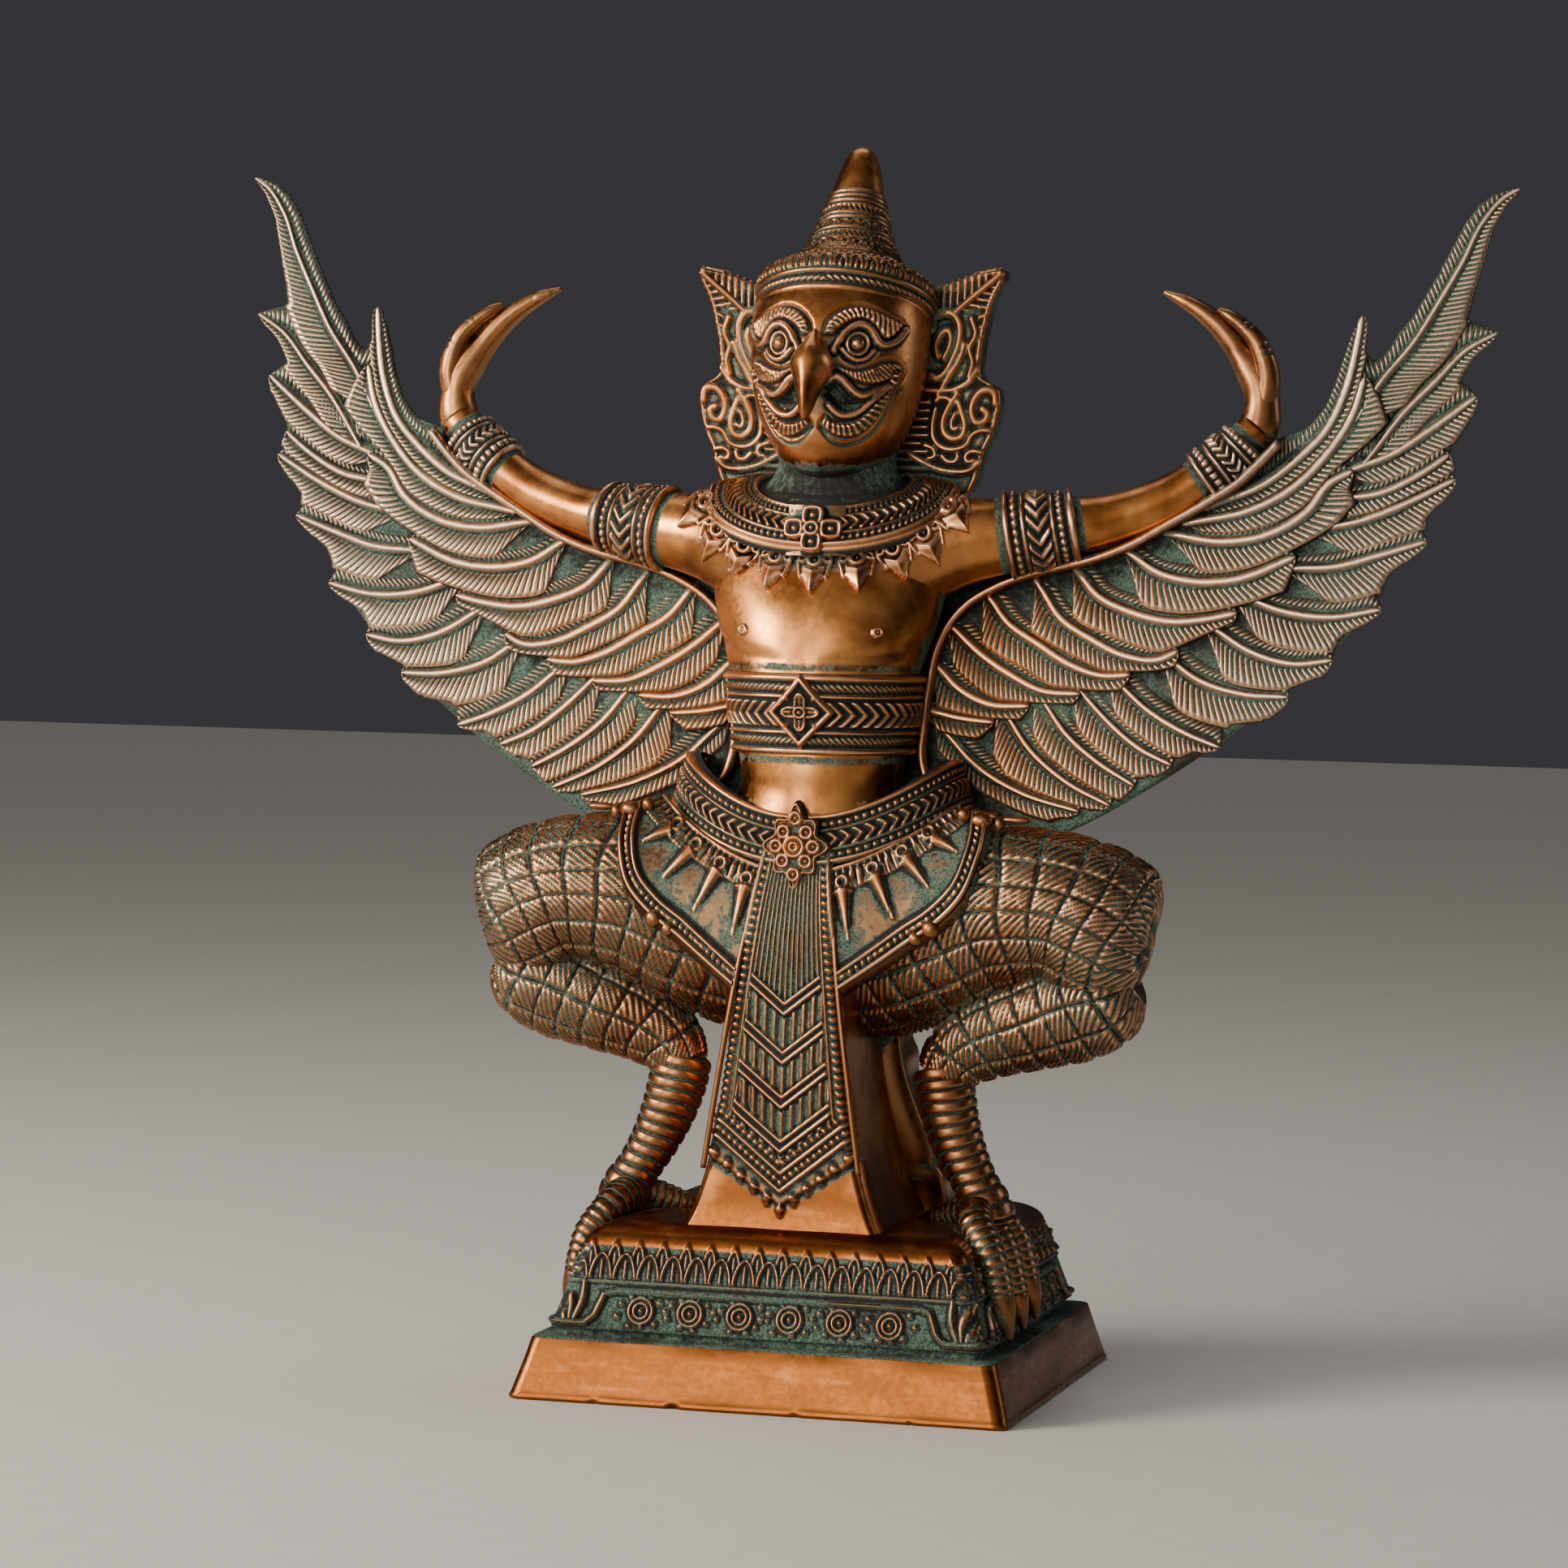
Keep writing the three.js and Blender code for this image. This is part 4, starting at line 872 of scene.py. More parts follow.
def loincloth():
    """The long panel down the front of the post, with its bead borders, pleats and chevrons, and the
    tail that stands behind it."""
    casting = Casting()
    z = even(54, 198, 0.58)
    grid, front = slab(POST, z, 0.0165)
    x, z_at = np.abs(grid[..., 0]), grid[..., 2]
    side = 12 + (190 - z_at) * 0.144

    def point(tip, slope=0.8):
        """How far inside a V whose tip hangs at a height."""
        return (z_at - tip - slope * x) / math.hypot(1, slope)

    cloth = (point(70.0, 0.62) > 0) & (x < side + 1.2)
    inner = x < side * 0.72
    lifted = np.where(cloth, 1.1, 0.0)
    share = x / side
    border = np.maximum(swell(x - side, 0.9, 1.2), swell(x - side * 0.76, 0.8, 0.9))
    dots = beads(z_at, x - side * 0.88, 2.9, 1.3, 1.1)
    above_end = point(86.0) > 0
    h = np.where(above_end, np.maximum(border, dots), 0.0)
    pleats = 0.55 * np.cos(2 * np.pi * share * 9.0) * (share < 0.72) + 0.2
    bars = 1.15 * np.clip(np.cos(2 * np.pi * x / 3.5) * 0.8 + 0.5, 0, 1)
    levels = [136.7, 119.5, 103.7, 88.0]
    field = np.where(point(levels[0]) > 0, pleats, bars)
    for tip in levels:
        near = point(tip)
        rails = np.maximum(swell(near - 0.9, 0.75, 1.5), swell(near - 3.6, 0.7, 1.3))
        field = np.where((near > -0.4) & (near < 4.6), rails, field)
        # The cloth steps down below each chevron, like one skirt over the next.
        field = field + 0.5 * np.exp(-np.clip(near, 0, 50) / 9) * (near > 0)
    h = np.where(inner & above_end, field, h)
    end_band = point(70.0, 0.62)
    strip = (end_band > 0) & ~above_end & (x < side + 1)
    rows = np.zeros(x.shape)
    far = point(73.4)
    for k, kind in enumerate(("rail", "bead", "rail", "bead", "rail")):
        a = far - 1.2 - 2.5 * k
        along = (x + z_at * 0.8) / math.hypot(1, 0.8)
        rows = np.maximum(rows, swell(a, 0.85, 1.2) if kind == "rail" else beads(along, a, 2.7, 1.2, 1.2))
    h = np.where(strip & (far > 0), np.maximum(h, rows), h)
    # Drops that hang along the pointed end.
    for k in range(-5, 6):
        spot = (k * 4.9, 68.5 + abs(k) * 3.85)
        drop = boss(grid[..., 0], z_at, spot, [(0.0, 1.9)], 1.9)
        drop = np.maximum(drop, boss(grid[..., 0], z_at, (spot[0], spot[1] - 2.0), [(0.0, 1.0)], 1.2))
        h = np.maximum(h, np.where(front, drop, 0))
    h = np.where(front, h + lifted, 0)
    soft = np.clip(point(66.0, 0.62) / 2, 0, 1) * np.clip((side + 3 - x) / 2, 0, 1)
    zone = np.where(front, soft, 0.0)
    casting.patch(grid, h, zone, wrap=True, ends=True, stain=0.1)
    # A raised edge down each side of the cloth.
    for way in (-1, 1):
        line = spline(
            [
                (way * 12.5, -42.0, 192), (way * 18.6, -53.0, 150), (way * 24.5, -55.4, 110),
                (way * 28.6, -55.6, 82),
            ],
            60,
        )
        edge, _ = tube(line, 1.1, 1.3, 8)
        casting.patch(edge, 0.0, 0.9, wrap=True, ends=True, relief=0.2)
    z = even(54, 214, 2.0)
    tail, _ = slab(TAIL, z, 0.2, 30)
    x, y = tail[..., 0], tail[..., 1]
    barbs = 0.5 * np.cos(2 * np.pi * tail[..., 2] / 11 + np.abs(x) * 0.5)
    feathered = (0.7 * np.cos(2 * np.pi * x / 7.0) + barbs) * (y > 12)
    casting.patch(tail, feathered, 0.62, wrap=True, ends=True)
    return casting.make("loincloth_and_tail")


# Legs

THIGH = [
    (8, -2, 158, 34, 27), (24, -6, 163, 36, 27), (46, -13, 169, 33.5, 28), (70, -16.5, 176, 29, 28),
    (92, -17, 176, 27, 27.5), (106, -17, 170, 28, 26), (117, -17, 164, 23, 20), (122, -17, 162, 14, 12),
    (124, -17, 161.5, 4, 4),
]
CALF = [
    (118, -16, 151, 8, 9), (112, -15.5, 147.5, 15.5, 16), (100, -14, 143, 19.5, 20),
    (84, -13.5, 137.5, 18.5, 19.5), (66, -13, 130.5, 16, 16.5), (54, -14, 122, 12.6, 12.6),
    (48, -15.5, 113, 9.6, 9.8),
]
SHANK = [
    (47.5, -16, 118, 9.5, 9.5), (49.5, -16.5, 111, 10.4, 10.4), (53, -18, 98, 9.8, 9.8),
    (58, -19.5, 86, 8.6, 9.0), (63.5, -21, 76, 8.0, 8.6), (67, -22, 69, 9.4, 9.6),
    (68, -22, 63, 10.5, 10.5),
]


def limb(table, step, turn, span=(0.0, 1.0)):
    """An oval limb along stations (x, y, z, half width, half depth), from one share of its length to
    another. Returns the grid, the distance along, and the distance around from the front."""
    fine = spline(table, 500)
    run = run_of(fine[:, :3])
    at = even(span[0] * run[-1], span[1] * run[-1], step)
    line = np.stack([np.interp(at, run, fine[:, k]) for k in range(5)], axis=1)
    core, wide, deep = line[:, :3], line[:, 3], line[:, 4]
    along = unit(np.gradient(core, axis=0))
    aside = unit(np.cross([0.0, 1.0, 0.0], along))
    inward = unit(np.cross(along, aside))
    grid = (
        core[:, None]
        + aside[:, None] * (wide[:, None] * np.sin(turn)[None])[..., None]
        - inward[:, None] * (deep[:, None] * np.cos(turn)[None])[..., None]
    )
    around = turn[None] * ((wide + deep) / 2).mean()
    return grid, np.broadcast_to(at[:, None], grid.shape[:2]), np.broadcast_to(around, grid.shape[:2])


def scale_lattice(s, a, cell, seed):
    """A lattice of cut lines over a limb, with slanting strokes inside each cell."""
    wander = 0.9 * np.sin(s * 0.13 + seed) + 0.7 * np.sin(a * 0.17 + 2 * seed)
    ss, aa = s + wander, a + 0.8 * wander
    u = ss / cell - np.floor(ss / cell)
    v = aa / cell - np.floor(aa / cell)
    edge = np.minimum(np.minimum(u, 1 - u), np.minimum(v, 1 - v)) * cell
    line = -1.15 * hump(edge, 0.62)
    pillow = 0.55 * np.clip(edge / (cell * 0.45), 0, 1) ** 0.5
    row = np.floor(ss / cell)
    stroke = np.cos(2 * np.pi * (u * cell * 0.9 + v * cell * (0.75 + 0.1 * np.sin(row * 2.1))) / 2.3)
    strokes = (np.clip(stroke + 0.45, -0.4, 1) - 0.45) * np.clip((edge - 0.5) / 0.6, 0, 1)
    return line + pillow + 0.75 * strokes


def legs(settings):
    """Both thighs and calves, folded together and covered with cut scales."""
    casting = Casting()
    cell = settings.scale_size / MM
    for table, seed, radius in ((THIGH, 0.4, 28), (CALF, 1.7, 18)):
        turn = turns(1.65, 14, 0.74, radius)
        grid, s, a = limb(table, 0.74, turn)
        near_front = np.abs(signed(turn))[None] < 1.7
        cut = scale_lattice(s, a, cell, seed)
        cut = np.where(near_front, cut, 0.35 * cut)
        casting.patch(grid, cut * 0.9, 1.0, wrap=True, ends=True, reach=1.6)
    casting.mirror()
    return casting.make("thighs_and_calves")


def toe(casting, stations, seed):
    """A toe with overlapping scales across it and a plain claw at its end."""
    grid, s, _ = limb(stations, 0.6, circle(16))
    scaled = s < s.max() * 0.74
    plates = (0.95 * ((s / 3.1 + seed) % 1.0) ** 0.7 - 0.5) * scaled
    casting.patch(grid, plates * 0.9, np.where(scaled, 1.0, 0.45), wrap=True, ends=True, reach=1.4)


def feet(settings):
    """Both ringed shanks, with front toes that hang over the plinth's edge and a hind toe each."""
    casting = Casting()
    turn = circle(34)
    grid, s, _ = limb(SHANK, 0.5, turn)
    pitch = (s.max() - 2) / settings.shank_rings
    phase = (s / pitch) % 1.0
    wobble = 0.12 * np.sin(turn * 3)[None]
    rings = 0.95 * np.clip(1 - ((phase + wobble - 0.5) / 0.46) ** 4, 0, 1) ** 0.6 - 0.5
    casting.patch(grid, rings, 1.0, wrap=True, ends=True, reach=1.6)
    side, deep = 70.5, (-44, -23, -3)
    for k, y in enumerate(deep):
        toe(
            casting,
            [
                (64, -22, 68, 8, 6.5), (side - 3, y * 0.75 - 5, 64.5, 6.2, 6.2),
                (side + 3.5, y, 55, 5.6, 6.0), (side + 7, y, 43, 5.2, 5.6),
                (side + 9.5, y, 33 + k, 4.0, 4.2), (side + 11.5, y + 1, 25 + k, 1.0, 1.2),
            ],
            0.3 * k,
        )
    toe(
        casting,
        [
            (65, -21, 68, 7.5, 6.5), (56, -16, 65.5, 5.6, 5.0), (47, -12, 63, 4.0, 3.6),
            (39, -9, 61.5, 1.2, 1.2),
        ],
        0.5,
    )
    casting.mirror()
    return casting.make("shanks_and_feet")


# Torso, with its belt, collar and girdle

TORSO = [
    (118, 4, 18, 16), (134, 2, 34, 28), (160, -2, 40, 32), (190, -6, 37, 31), (207, -8, 33, 30),
    (219, -8, 29.6, 28), (229, -8, 31, 28.8), (244, -8.6, 33, 29.4), (258, -9, 34.6, 30),
    (273, -7, 39.5, 28), (290, -4, 43, 25), (306, 0, 41, 21), (319, 3, 33, 19), (330, 3, 23, 18),
    (345, 3, 22, 18),
]


def on_torso(x, z):
    """The front of the torso at (x, z)."""
    middle, wide, deep = np.moveaxis(smooth(TORSO, z), -1, 0)
    return np.stack([x, middle - deep * np.sqrt(np.clip(1 - (x / wide) ** 2, 0.02, 1)), z], axis=-1)


def on_chest(x, z):
    """The front of the torso or of the upper arm at (x, z), whichever stands further forward."""
    torso_at = on_torso(x, z)
    middle, level, half, deep = np.moveaxis(smooth([(0, -2, 300, 19, 17), *ARM[:4]], np.abs(x)), -1, 0)
    arm_y = middle - deep * np.sqrt(np.clip(1 - ((z - level) / half) ** 2, 0.02, 1))
    torso_at[..., 1] = np.minimum(torso_at[..., 1], arm_y)
    return torso_at


def torso():
    """The bare chest and belly, and the belt with its diamond clasp."""
    casting = Casting()
    z = np.concatenate([even(118, 188, 5), even(190, 345, 1.4)])
    turn = turns(1.65, 14, 1.4, 38)
    grid = oval(TORSO, z, turn)
    x, z_at = grid[..., 0], grid[..., 2]
    front = np.clip(-(grid[..., 1] + 6) / 6, 0, 1)
    chest = 2.0 * hump(np.abs(x) - 11, 20) * hump(z_at - 276, 12)
    fold = 0.9 * hump(z_at - 262 - 0.005 * x**2, 2.6) * np.clip((np.abs(x) - 5) / 8, 0, 1)
    belly = hump(x, 20) * hump(z_at - 222, 7)
    # Patina gathers on the neck, under the collar, along the belt's edges, on the hips and at the wings.
    neck = np.clip((z_at - 316) / 6, 0, 1)
    under = np.clip((z_at - 293.5 - 0.010 * x**2) / 6, 0, 1)
    along = 0.8 * (hump(z_at - 260.4, 1.4) + hump(z_at - 227.2, 1.4))
    beside = hump(np.abs(signed(turn)) - 1.5, 0.2)[None] + 0 * x
    behind = grid[..., 1] > 5
    hips = np.clip((208 - z_at) / 4, 0, 1) * np.where(behind, 0.55, 1.0)
    nape = np.where(behind, 0.6, 1.0)
    stained = np.maximum.reduce([neck * nape, under * nape, along, hips, beside])
    gathered = np.clip(0.4 * stained - 0.1, 0, 0.3) + 0.04 * neck
    casting.patch(grid, (chest - fold + belly) * front, stained, wrap=True, ends=True, stain=gathered)

    def nipple(u, v):
        return np.where(
            np.hypot(u, v) < 2.3, 0.35 + boss(u, v, (0, 0), [(1.3, 0.55), (0.0, 0.5)], 0.75), -1.0,
        )

    for way in (-1, 1):
        centre = (way * 24.9, 273.4)
        laid(casting, lambda x, z: on_torso(x, z) - [0, 1.6, 0], centre, (3.0, 3.0), 0.3, nipple, carved=0.6)

    z = even(228.4, 259.1, 0.46)
    turn = turns(1.7, 30, 0.46, 33)
    grid = oval(TORSO, z, turn)
    side = signed(turn)
    s = np.broadcast_to(np.abs(side)[None] * 33.5, grid.shape[:2])
    z_at = grid[..., 2]
    lift = np.where((z_at < 229.0) | (z_at > 258.5), -1.5, 1.2)
    ornament = banded(
        s, z_at,
        [
            ("rail", 230.8, 1.3, 0, 1.6), ("rope", 234.4, 1.5, 2.3, 1.4), ("rail", 237.4, 0.8, 0, 1.3),
            ("arrows", 243.9, 4.6, 4.6, 1.5), ("rail", 250.3, 0.8, 0, 1.3), ("rope", 253.2, 1.5, 2.3, 1.4),
            ("rail", 256.6, 1.3, 0, 1.6),
        ],
    )
    casting.patch(grid, lift + ornament * (lift > 0.5), 1.0, wrap=True, stain=0.08)

    def clasp(u, v):
        far = 1 - np.abs(u) / 11.2 - np.abs(v) / 13.2
        plate = np.where(
            far > 0, 3.9 + 1.7 * np.clip(far / 0.1, 0, 1) - 2.0 * np.clip((far - 0.2) / 0.05, 0, 1), -1.5,
        )
        bloom = flower(u, v * 0.9, 6.4, 4, 2.0)
        leaves = swell(np.hypot(np.abs(u) - 4.4, np.abs(v) - 4.6), 0.9, 1.3)
        return plate + np.where(far > 0.2, np.maximum(bloom, leaves), 0)

    laid(casting, on_torso, (0, 245), (12, 14), 0.34, clasp)
    return casting.make("torso_and_belt")


def collar():
    """The collar round the neck, with its quatrefoil and hanging arrowheads."""
    casting = Casting()
    turn = turns(1.75, 30, 0.5, 44)
    side = signed(turn)
    out = np.linspace(0, 1, 60)[:, None]
    c = np.cos(side)[None]
    across = (22 + 26 * out) * np.sin(side)[None]
    z = 326 - 5 * c - out * (4 + 16 * np.clip(c, 0, 1))
    inner, outer = 3 - 19 * c, -4 - 25.5 * c
    y = inner + (outer - inner) * out**0.8
    grid = np.stack([across, y - 1.2 * np.clip(c, 0, 1), np.broadcast_to(z, across.shape)], axis=-1)
    share = np.broadcast_to(out, across.shape)
    s = np.abs(side)[None] * (22 + 26 * out)
    a = share * 25
    body = np.where(share > 0.975, -1.5, 2.0)
    ornament = banded(
        s, a,
        [
            ("rail", 6.6, 0.8, 0, 1.4), ("beads", 8.5, 1.05, 2.4, 1.3), ("rail", 10.4, 0.8, 0, 1.4),
            ("arrows", 14.0, 3.0, 4.0, 1.8), ("rail", 17.6, 0.8, 0, 1.4), ("beads", 19.8, 1.3, 2.8, 1.6),
            ("rail", 22.2, 1.0, 0, 1.5),
        ],
    )
    moat = np.clip((6.2 - a) / 1.5, 0, 1)
    casting.patch(
        grid, body + ornament * (share < 0.97) - 0.8 * moat, 1.0, wrap=True, stain=0.18 + 0.3 * moat,
    )

    def badge(u, v):
        h = np.full(u.shape, -1.5)
        for cu, cv in ((0, 4.7), (0, -4.7), (6.2, 0), (-6.2, 0)):
            d = np.maximum(np.abs(u - cu), np.abs(v - cv)) * 0.55 + np.hypot(u - cu, v - cv) * 0.5
            lobe = 1.8 + swell(d - 3.0, 0.8, 1.7) + swell(d, 1.1, 1.4)
            h = np.where(d < 3.9, np.maximum(h, lobe), h)
        middle = np.hypot(u, v)
        return np.where(
            middle < 3.2, np.maximum(h, 2.6 + swell(middle - 2.1, 0.75, 1.3) + swell(middle, 0.9, 1.6)), h,
        )

    laid(
        casting, lambda x, z: np.stack([x, -30.6 - 0.2 * (311 - z) + 0.02 * x**2, z], axis=-1),
        (0.5, 309.6), (11, 9), 0.34, badge,
    )

    def drop(u, v):
        """A ring over an arrowhead, with a thin leaf point on either side."""
        ring = swell(np.hypot(u, v - 5) - 2.2, 1.0, 2.4)
        bead = swell(np.hypot(u, v - 5), 0.75, 1.4)
        wide = 4.2 * np.clip((v + 7.3) / 6.6, 0, 1) ** 0.9
        barb = 0.8 + 0.5 * np.abs(u)
        head = (v < barb) & (np.abs(u) < wide)
        arrow = np.where(head, 1.6 + 1.8 * (1 - np.abs(u) / np.maximum(wide, 0.01)), 0)
        leaf = swell(np.abs(np.abs(u) - 5.0 - 0.25 * v), 0.8, 1.5) * ((v > -1.5) & (v < 5))
        curl = swell(np.hypot(np.abs(u) - 4.6, v - 5.6) - 1.2, 0.7, 1.6)
        h = np.maximum.reduce([ring, bead, arrow, leaf, curl])
        return np.where(h > 0, h + 0.4, -3.0)

    hung = (
        ((0, 298.4), (0, 286)), ((14.8, 299.3), (16.8, 287.3)), ((27.5, 303.4), (32, 292.5)),
        ((38, 309), (43.5, 298)), ((45.5, 318), (53.5, 309.5)),
    )
    for way in (-1, 1):
        for (x0, z0), (x1, z1) in hung if way > 0 else hung[1:]:
            centre = (way * (x0 + (x1 - x0) * 0.42), z0 + (z1 - z0) * 0.42)
            laid(casting, on_chest, centre, (6.6, 8.6), 0.38, drop, turn=math.atan2(way * (x1 - x0), z0 - z1))
    return casting.make("collar")


def apron_surface():
    """The apron between the sash and its curved border, on the +X side: a grid, with the distance down
    from the sash and up from the border."""
    top = spline(
        [
            (54, -25, 212), (50.5, -28, 209.5), (46, -31, 206), (40, -34.5, 202), (32, -37.5, 197.5),
            (24, -40, 193.5), (13, -42, 189.5),
        ],
        96,
    )
    foot = spline(
        [
            (67, -31, 207), (66.5, -40.5, 193), (62, -45, 180), (53, -46, 170.5), (42, -46.8, 163),
            (31, -49, 155), (19, -52, 146.5),
        ],
        96,
    )
    t = np.linspace(0, 1, 74)[:, None]
    bulge = (np.sin(t * np.pi) * 1.6)[..., None]
    grid = top[None] + (foot - top)[None] * t[..., None] - np.array([0, 1.0, 0]) * bulge
    gap = np.linalg.norm(foot - top, axis=1)
    return grid, t * gap[None], (1 - t) * gap[None], run_of(foot)[None] + 0 * t, foot


def girdle():
    """The sash round the hips with its flower, and the fan-shaped aprons that hang from it."""
    casting = Casting()
    # On each apron, cones hang from bosses on the sash: (x, z) of each boss and of its cone's tip.
    cones = (
        ((17.5, 184.5), (21.5, 163.5)), ((28, 189.5), (37, 172)), ((38, 195.5), (51, 182)),
        ((46.5, 202), (59, 196)),
    )
    grid, down, up, s, foot = apron_surface()
    x, z = grid[..., 0], grid[..., 2]
    border = 0.8 + banded(
        s, up, [("rail", 1.2, 1.2, 0, 2.4), ("studs", 3.9, 1.2, 2.9, 1.7), ("rail", 6.3, 0.9, 0, 1.9)],
    )
    raised = banded(s, down, [("rail", 0.9, 0.9, 0, 1.3)])
    for start, tip in cones:
        along, off, run = follow([start, tip], x, z)
        near = np.hypot(x - start[0], z - start[1])
        half = 3.0 * np.clip(1 - (along - 2.2) / (run - 2.2), 0, 1)
        thinned = (0.35 + 0.65 * half / 3) * ((along > 2.2) & (half > 0.08))
        cone = swell(off, np.maximum(half, 0.08), 2.6) * thinned
        rings = np.maximum(
            swell(near - 1.9, 0.9, 2.0), swell(along - 3.4, 0.7, 1.9) * (np.abs(off) < 3.2) * (near > 2.8),
        )
        raised = np.maximum(raised, np.maximum(cone, rings))
    # A scalloped fringe of small points between the bosses.
    fringe = petals(s, 9.4 - down, 4.4, 0.0, 8.0, 1.3, 0.42) * (down > 1.6)
    raised = np.where(raised > 0.1, raised, fringe)
    on_border = up < 7.4
    casting.patch(
        grid, np.where(on_border, border, raised) + 0.6, np.where(on_border | (raised > 0.1), 1.0, 0.6),
        stain=0.15,
    )
    skirt = np.stack([foot + [0, -2.0, 0], foot + [1.5, 1.0, -2.2], foot + [-2.0, 9.0, -3.0]])
    casting.patch(skirt, 0.0, 1.0, facing=(0, 0, -1))
    # The knot at the hip with its tail, and the clasp halfway along the border.
    turn, level = circle(14)[None], np.linspace(-1, 1, 10)[:, None] * np.pi / 2
    ball = [np.cos(level) * np.sin(turn), -np.cos(level) * np.cos(turn), np.sin(level) + 0 * turn]
    ball = np.stack(ball, axis=-1)
    for spot, size in (
        ((65, -33, 207.5), (4.2, 3.2, 3.2)), ((58.5, -33, 209.5), (2.4, 2.2, 2.6)),
        ((71, -31, 206.5), (2.2, 2.4, 2.8)), ((77, -30, 208.2), (5.5, 2.0, 1.5)),
        ((51, -48.5, 169.5), (3.2, 2.6, 3.4)), ((45.5, -48.6, 166), (2.6, 2.2, 2.8)),
    ):
        casting.patch(np.array(spot) + ball * size, 0.0, 0.8, wrap=True, relief=0.15)
    casting.mirror()

    turn = turns(1.65, 24, 0.5, 46)
    side = signed(turn)
    c = np.cos(side)[None]
    v = even(-10.2, 10.2, 0.46)[:, None]
    flare = 0.3 * v
    grid = np.stack(
        [(51 - flare) * np.sin(side)[None], -8 - (31.5 - flare) * c, 219 - 20.5 * c**2 + v * 0.95], axis=-1,
    )
    s, a = np.abs(side)[None] * 46 + 0 * v, v + 0 * side[None]
    lift = np.where(np.abs(a) > 9.5, -2.2, 1.3)
    ornament = banded(
        s, a,
        [
            ("rail", 8.1, 1.2, 0, 1.6), ("studs", 5.3, 1.1, 2.8, 1.4), ("rail", 3.1, 0.7, 0, 1.2),
            ("arrows", -0.6, 2.9, 4.2, 1.6), ("rail", -4.2, 0.7, 0, 1.2), ("studs", -6.3, 1.1, 2.8, 1.3),
            ("rail", -8.4, 0.9, 0, 1.4),
        ],
    )
    casting.patch(grid, lift + ornament * (np.abs(a) < 9.5), 1.0, wrap=True, stain=0.34)

    # A pointed flower: eight ringed petals round a boss, on a round grid that ends at its scalloped edge.
    way = circle(112)[None]
    flat = np.abs(np.cos(way)) * 0.5 + np.abs(np.sin(way)) * 0.5 + 0.45
    reach = (0.88 + 0.11 * np.cos(way * 8)) / np.maximum(flat, 0.8)
    share = np.append(np.linspace(0.02, 1, 40), [1.0, 1.0])[:, None]
    u, v = 12.3 * reach * share * np.cos(way), 15.6 * reach * share * np.sin(way)
    h = 2.6 + 1.3 * hump(share - 0.93, 0.045) + 0 * u
    for k in range(8):
        turn = k * np.pi / 4
        reach = 8.2 if k % 4 == 2 else (6.9 if k % 2 == 0 else 6.0)
        lobe = np.hypot(u - reach * math.cos(turn), v - reach * 1.22 * math.sin(turn))
        h = np.maximum(h, (2.6 + swell(lobe - 2.0, 0.85, 2.0) + swell(lobe, 0.8, 1.5)) * (lobe < 2.9))
    middle = np.hypot(u, v)
    button = 3.6 + swell(middle - 3.4, 0.85, 1.8) + swell(middle - 1.4, 0.75, 2.0)
    h = np.where(middle < 4.4, np.maximum(h, button), h)
    h[-2:] = [[1.0], [-2.5]]
    flower_grid = np.stack([u, -42.4 + 0.008 * u**2 - 0.06 * (1 - v) - h, 197 + v], axis=-1)
    casting.patch(flower_grid, 0.0, 1.0, wrap=True, relief=np.clip(h - 2.8, -0.9, 1.2) * 0.5)
    return casting.make("girdle_and_aprons")


# Arms

# Stations down a limb: x, y, z, half width, half depth.
ARM = [
    (28, -2, 300, 19, 19), (46, 0, 306, 16, 17), (64, 3, 309, 13.6, 14.5), (86, 7, 312.6, 10.7, 12.4),
    (98, 9.5, 314.8, 9.7, 11.2), (110, 11.5, 318.4, 9.2, 10.4), (122, 13.5, 323.7, 8.8, 9.8),
    (134, 15.5, 331.8, 8.4, 9.2), (145, 18, 341.3, 7.9, 8.6), (151.5, 19.5, 349, 7.4, 8),
]
HAND = [
    (150.2, 19, 345.5, 7.8, 7.6), (152.2, 19.8, 352, 7.4, 7.4), (152.6, 20, 358, 6.4, 7.0),
    (151.6, 20.5, 364.5, 6.7, 7.0), (148, 21.5, 370.5, 6.2, 6.6), (144, 22.5, 376, 5.0, 6.0),
    (138, 23.5, 383.6, 4.5, 5.4), (129, 24.5, 391, 3.4, 4.4), (121, 25.3, 395.4, 2.3, 3.0),
    (114.5, 26, 398, 0.8, 1.2),
]
FINGER = [
    (153.8, 18.5, 359, 4.4, 5.2), (154.8, 18, 366, 4.5, 5.2), (153.6, 17.8, 373, 4.2, 5),
    (150.4, 18, 380, 3.6, 4.5), (144.6, 19, 386, 2.9, 3.8), (139, 20, 389.8, 2.2, 2.8),
    (135.6, 20.6, 391.6, 1.0, 1.2),
]


